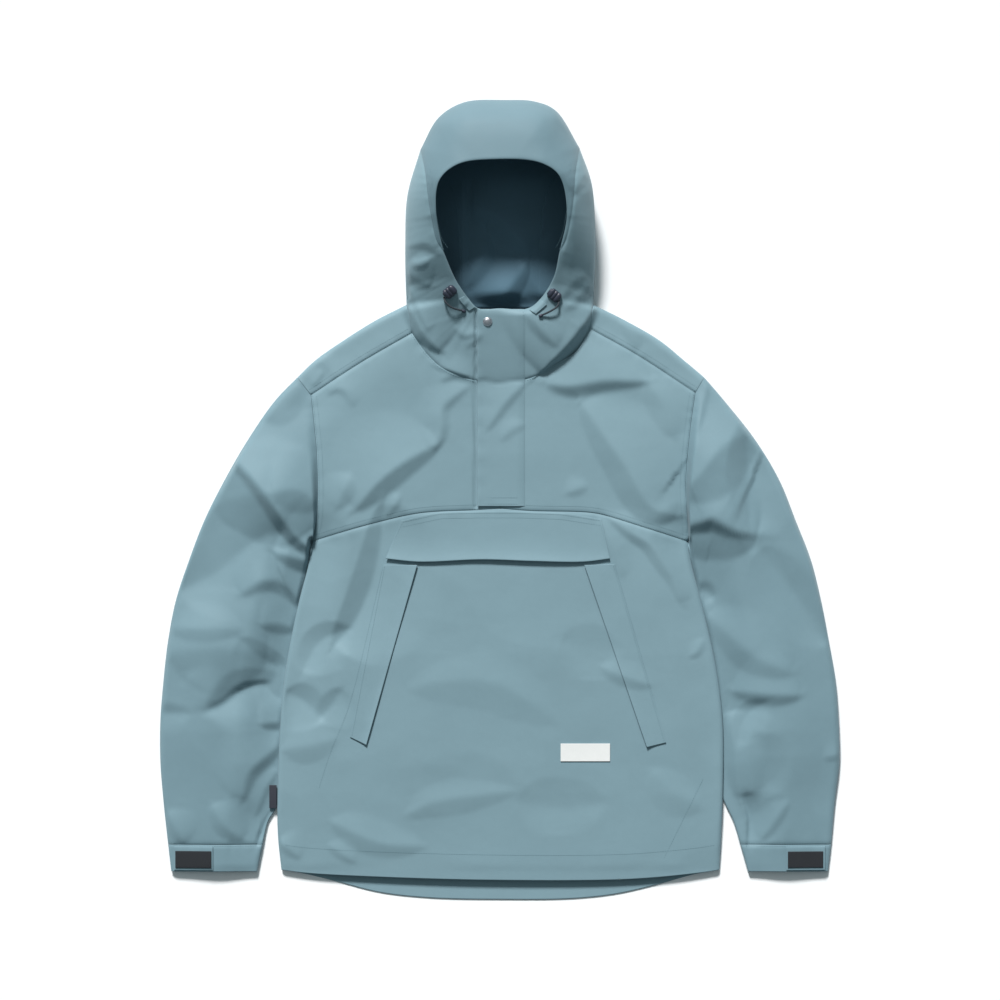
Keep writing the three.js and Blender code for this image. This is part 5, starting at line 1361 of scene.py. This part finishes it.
class ANORAK_OT_front(Operator):
    """Makes the three front panels"""
    bl_idname = "anorak.front"
    bl_label = "Front panels"

    def execute(self, context):
        cuts = {"front_lower": (580, 490), "front_upper_left": (255, 245), "front_upper_right": (262, 250)}
        for node, grids in front_grids().items():
            cloth_piece("panel_" + node, node, grids, cuts[node], ["back"])
        return {"FINISHED"}


class ANORAK_OT_back(Operator):
    """Makes the back panel, which turns over the shoulders"""
    bl_idname = "anorak.back"
    bl_label = "Back panel"

    def execute(self, context):
        nodes = "back back_shoulder_left back_shoulder_right"
        cloth_piece("panel_back", nodes, back_grids(), (590, 830), ["front_lower"])
        return {"FINISHED"}


class ANORAK_OT_sleeves(Operator):
    """Makes both sleeves and their cuffs"""
    bl_idname = "anorak.sleeves"
    bl_label = "Sleeves and cuffs"

    def execute(self, context):
        for side in SIDES:
            sleeve, cuff = sleeve_grids(side)
            # The sleeves and cuffs take the darker sleeve cloth, which is painted shade.
            cloth_piece(
                "sleeve_cloth_" + side, f"sleeve_{side} sleeve_under_{side}", sleeve, (400, 690),
                ["cuff_" + side], kind="sleeve")
            cloth_piece(
                "cuff_band_" + side, "cuff_" + side, cuff, (250, 36), ["sleeve_" + side], kind="sleeve")
        return {"FINISHED"}


class ANORAK_OT_hood(Operator):
    """Makes the hood with its collar"""
    bl_idname = "anorak.hood"
    bl_label = "Hood"

    def execute(self, context):
        cuts = {"hood_left": (230, 420), "hood_right": (230, 420), "hood_middle": (300, 480)}
        # The hood's inner faces take the dark inside material, which is painted shade in the hood's hollow.
        for node, grids in hood_grids().items():
            # The hood middle takes the darker hood cloth, which is painted shade.
            cloth_piece(
                "cloth_" + node, node, grids, cuts[node], ["back"], inside=1,
                kind="hood" if node == "hood_middle" else "shell")
        return {"FINISHED"}


class ANORAK_OT_placket(Operator):
    """Makes the placket over the closed zip"""
    bl_idname = "anorak.placket"
    bl_label = "Placket"

    def execute(self, context):
        p = PLACKET
        wide, tall = p["right"] - p["left"], p["top"] - p["bottom"]

        def lift(u, v):
            """The left edge stands free, the right edge is flush, and the seam's groove is filled."""
            free = 1.1 * np.exp(-(u * wide / 9)) * (0.6 + 0.4 * np.sin(v * 31) ** 2)
            flush = 1.25 * ease((u - 0.86) / 0.14)
            groove = 3.2 * np.exp(-(((u * wide + 1.5) / 1.8) ** 2))
            return 1.6 + free + groove + 0 * v - 0.3 * (1 - round_over(u * wide / 1.2)) - flush

        ends = [[(p["left"], p[end]), (p["right"], p[end])] for end in ("bottom", "top")]
        laid_piece(
            "placket_strip", "placket", ends,
            spread(wide, step(), FINE_LINES, OVERLAY_LINES), spread(tall, step(), OVERLAY_LINES, OVERLAY_LINES),
            collar_or_body, lift, (63, 262), "front_upper_left")
        return {"FINISHED"}


class ANORAK_OT_pocket(Operator):
    """Makes the pocket flap and the welts of the slanted pockets"""
    bl_idname = "anorak.pocket"
    bl_label = "Pocket"

    def execute(self, context):
        wide, tall = 280, 60

        def lift(u, v):
            """The lower edge gapes, most in the middle."""
            low = np.exp(-(v * tall / 14))
            gape = 2.4 + 1.8 * np.sin(np.pi * u) ** 2 + 0.5 * np.sin(9 * u + 1)
            return 1.7 + gape * low - 0.6 * (1 - round_over(v * tall / 1.8)) + 0 * u

        laid_piece(
            "flap", "pocket_flap", (curve(FLAP_LOW), curve(FLAP_TOP)),
            spread(wide, step(), OVERLAY_LINES, OVERLAY_LINES), spread(tall, step(), FINE_LINES, OVERLAY_LINES),
            BODY_FRONT, lift, (296, 68), "front_lower")
        wide, tall = 38, 235
        for side, ends in WELTS.items():

            def lift(u, v):
                """The edge towards the middle stands free."""
                inward = u if side == "right" else 1 - u
                free = np.exp(-(inward * wide / 8)) * (1.6 + 0.7 * np.sin(v * 7 + 1))
                return 1.5 + free - 0.5 * (1 - round_over(inward * wide / 1.6))

            laid_piece(
                "welt_" + side, "pocket_welt_" + side, ends,
                spread(wide, step() * 0.8, FINE_LINES, FINE_LINES),
                spread(tall, step(), OVERLAY_LINES, OVERLAY_LINES), BODY_FRONT, lift, (45, 242), "front_lower")
        return {"FINISHED"}


class ANORAK_OT_tabs(Operator):
    """Makes the cuff tabs with their hook-and-loop, the blank label and the blank side tab"""
    bl_idname = "anorak.tabs"
    bl_label = "Tabs and label"

    def execute(self, context):
        for side, tab in TABS.items():
            # The cuff tabs take the darker sleeve cloth, which is painted shade.
            for kind, node, lift, finish, slot in (
                    ("tab", "cuff_tab_", 1.8, "sleeve", "shell_cloth"),
                    ("grip", "cuff_grip_", 3.2, "grip", "hook_and_loop")):
                wide, tall = tab[kind][2:]

                def rise(u, v):
                    rim = np.minimum(np.minimum(u, 1 - u) * wide, np.minimum(v, 1 - v) * tall)
                    return lift - 0.35 * (1 - round_over(rim / 1.0))

                laid_piece(
                    kind + "_" + side, node + side, rectangle(*tab[kind]),
                    spread(wide, 2.4, TAB_LINES, TAB_LINES), spread(tall, 2.4, TAB_LINES, TAB_LINES),
                    partial(front_height, "sleeve_" + side), rise, (wide + 1, tall + 1), "cuff_" + side, 1.2,
                    slot=slot, kind=finish)
        wide, tall = LABEL[2:]
        laid_piece(
            "blank_label", "label", rectangle(*LABEL), spread(wide, 2.4, TAB_LINES, TAB_LINES),
            spread(tall, 2.0, TAB_LINES, TAB_LINES), BODY_FRONT, lambda u, v: 1.1 + 0 * u * v,
            (wide + 1, tall + 1), "front_lower", 0.7, slot="label_cloth", kind="label")
        low, high = (np.array(corner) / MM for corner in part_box("side_tab"))
        laid_piece(
            "blank_side_tab", "side_tab", [[(low[0], y), (high[0], y)] for y in (low[1], high[1])],
            spread(9.4, 1.2, (0.3,), (0.3,)), spread(30, 2, TAB_LINES, TAB_LINES),
            lambda x, y: np.full(x.shape, high[2]), lambda u, v: -0.4 + 0.35 * np.sin(v * np.pi) + 0 * u,
            (10, 31), "front_lower", 1.2, slot="dark_webbing", kind="webbing")
        return {"FINISHED"}


class ANORAK_OT_fastenings(Operator):
    """Makes the snap cap, the cord locks and the loops that hold them"""
    bl_idname = "anorak.fastenings"
    bl_label = "Snap and cord locks"

    def execute(self, context):
        seat = surface_frame(collar_or_body, SNAP["x"], SNAP["y"], SNAP["radius"], 0, 2.0)
        snap = ringed("snap_cap", turned_rings(SNAP_CAP, 48), "metal", "snap_button")
        snap.data.transform(seat)
        for side, lock in LOCKS.items():
            laid_piece(
                "loop_" + side, "lock_loop_" + side, lock["loop"], spread(9.3, 1.6, (0.4,), (0.4,)),
                spread(19, 1.8, TAB_LINES, TAB_LINES), hood_height,
                lambda u, v: 1.5 + 0.5 * np.sin(v * np.pi) + 0 * u, (11, 21), "hood_" + side)
            low, high = (Vector(corner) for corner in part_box("cord_lock_" + side))
            seat = surface_frame(hood_height, lock["x"], lock["y"], 9, lock["turn"], 0)
            seat.translation = (low + high) / 2
            piece = ringed("lock_" + side, lock_rings(), "plastic", "cord_lock_" + side)
            piece.data.transform(seat)
        return {"FINISHED"}


class ANORAK_OT_stitching(Operator):
    """Sews the seams, hems and edges"""
    bl_idname = "anorak.stitching"
    bl_label = "Stitching"

    def execute(self, context):
        front, hood = BODY_FRONT, hood_height
        lines = [(beside(across(CHEST_SEAM), away, 120), front) for away in CHEST_STITCHES]
        lines.append((beside(curve(FRONT_HEM), HEM_STITCH, 120), front))
        for side, sign in SIDES.items():
            runs, sleeve = RUNS[side], partial(front_height, "sleeve_" + side)
            near, far = (away * sign for away in SEAM_STITCHES)
            inner, outer = (edge_at(table[side], CUFF_SEAM_Y) for table in (INNER_EDGE, OUTER_EDGE))
            cuff = np.linspace(inner + (6 * sign, 0), outer - (6 * sign, 0), 20)
            seam = curve(HOOD_SEAM_FRONT[side])[:-6]
            lines += [
                (beside(runs["armhole"], near), front), (beside(runs["armhole"], far), front),
                (beside(runs["shoulder"], -near), front), (beside(runs["shoulder"], -far), front),
                (beside(runs["neck"], near, 40), front), (curve(POCKET_STITCH[side]), front),
                (cuff + (0, SEAM_STITCHES[0]), sleeve), (cuff - (0, SEAM_STITCHES[0]), sleeve),
                (beside(seam, near), hood), (beside(seam, far), hood)]
        lines.append((curve(POCKET_STITCH["bag"]), front))
        stitched("stitches_shell", lines)

        def strip(x, y):
            return collar_or_body(x, y) + np.where(x > 24, 0.5, 1.65)

        def flap(x, y):
            return BODY_FRONT(x, y) + 1.75

        def welt(x, y):
            return BODY_FRONT(x, y) + 1.55

        right = PLACKET["right"]
        rows = [(np.array([(right - 2, -6.0), (right - 2, 244)]), strip)]
        rows += [(np.array([(-27.0, y), (30, y)]), strip) for y in (-5, 3)]
        rows += [(beside(FLAP_TOP, away), flap) for away in (-2, -8)]
        for (x0, y0), (x1, y1), inward in ((FLAP_LOW[0], FLAP_TOP[0], 2.2), (FLAP_LOW[-1], FLAP_TOP[-1], -2.2)):
            rows.append((np.array([(x0 + inward, y0 + 6), (x1 + inward, y1 - 2)]), flap))
        for side, outer, inward in (("left", 0, 2.0), ("right", 1, -2.0)):
            rows.append((np.array([end[outer] for end in WELTS[side]]) + (inward, 0), welt))
        stitched("stitches_overlays", rows)
        return {"FINISHED"}


class ANORAK_PT_maker(Panel):
    """Lists the steps that make the pullover"""
    bl_label = "Anorak pullover"
    bl_idname = "ANORAK_PT_maker"
    bl_space_type = "VIEW_3D"
    bl_region_type = "UI"
    bl_category = "Anorak"

    def draw(self, context):
        for group in (context.scene.anorak_sizes, context.scene.anorak_colours):
            for key in group.__annotations__:
                self.layout.prop(group, key)
        for maker in MAKERS:
            self.layout.operator(maker.bl_idname)


MAKERS = (
    ANORAK_OT_stage, ANORAK_OT_cords, ANORAK_OT_front, ANORAK_OT_back, ANORAK_OT_sleeves, ANORAK_OT_hood,
    ANORAK_OT_placket, ANORAK_OT_pocket, ANORAK_OT_tabs, ANORAK_OT_fastenings, ANORAK_OT_stitching)
CLASSES = (ANORAK_PG_sizes, ANORAK_PG_colours, *MAKERS, ANORAK_PT_maker)


def register():
    for kind in CLASSES:
        bpy.utils.register_class(kind)
    bpy.types.Scene.anorak_sizes = PointerProperty(type=ANORAK_PG_sizes)
    bpy.types.Scene.anorak_colours = PointerProperty(type=ANORAK_PG_colours)


def unregister():
    del bpy.types.Scene.anorak_colours, bpy.types.Scene.anorak_sizes
    for kind in reversed(CLASSES):
        bpy.utils.unregister_class(kind)


def main():
    register()
    for maker in MAKERS:
        group, step_name = maker.bl_idname.split(".")
        getattr(getattr(bpy.ops, group), step_name)()


if __name__ == "__main__":
    main()
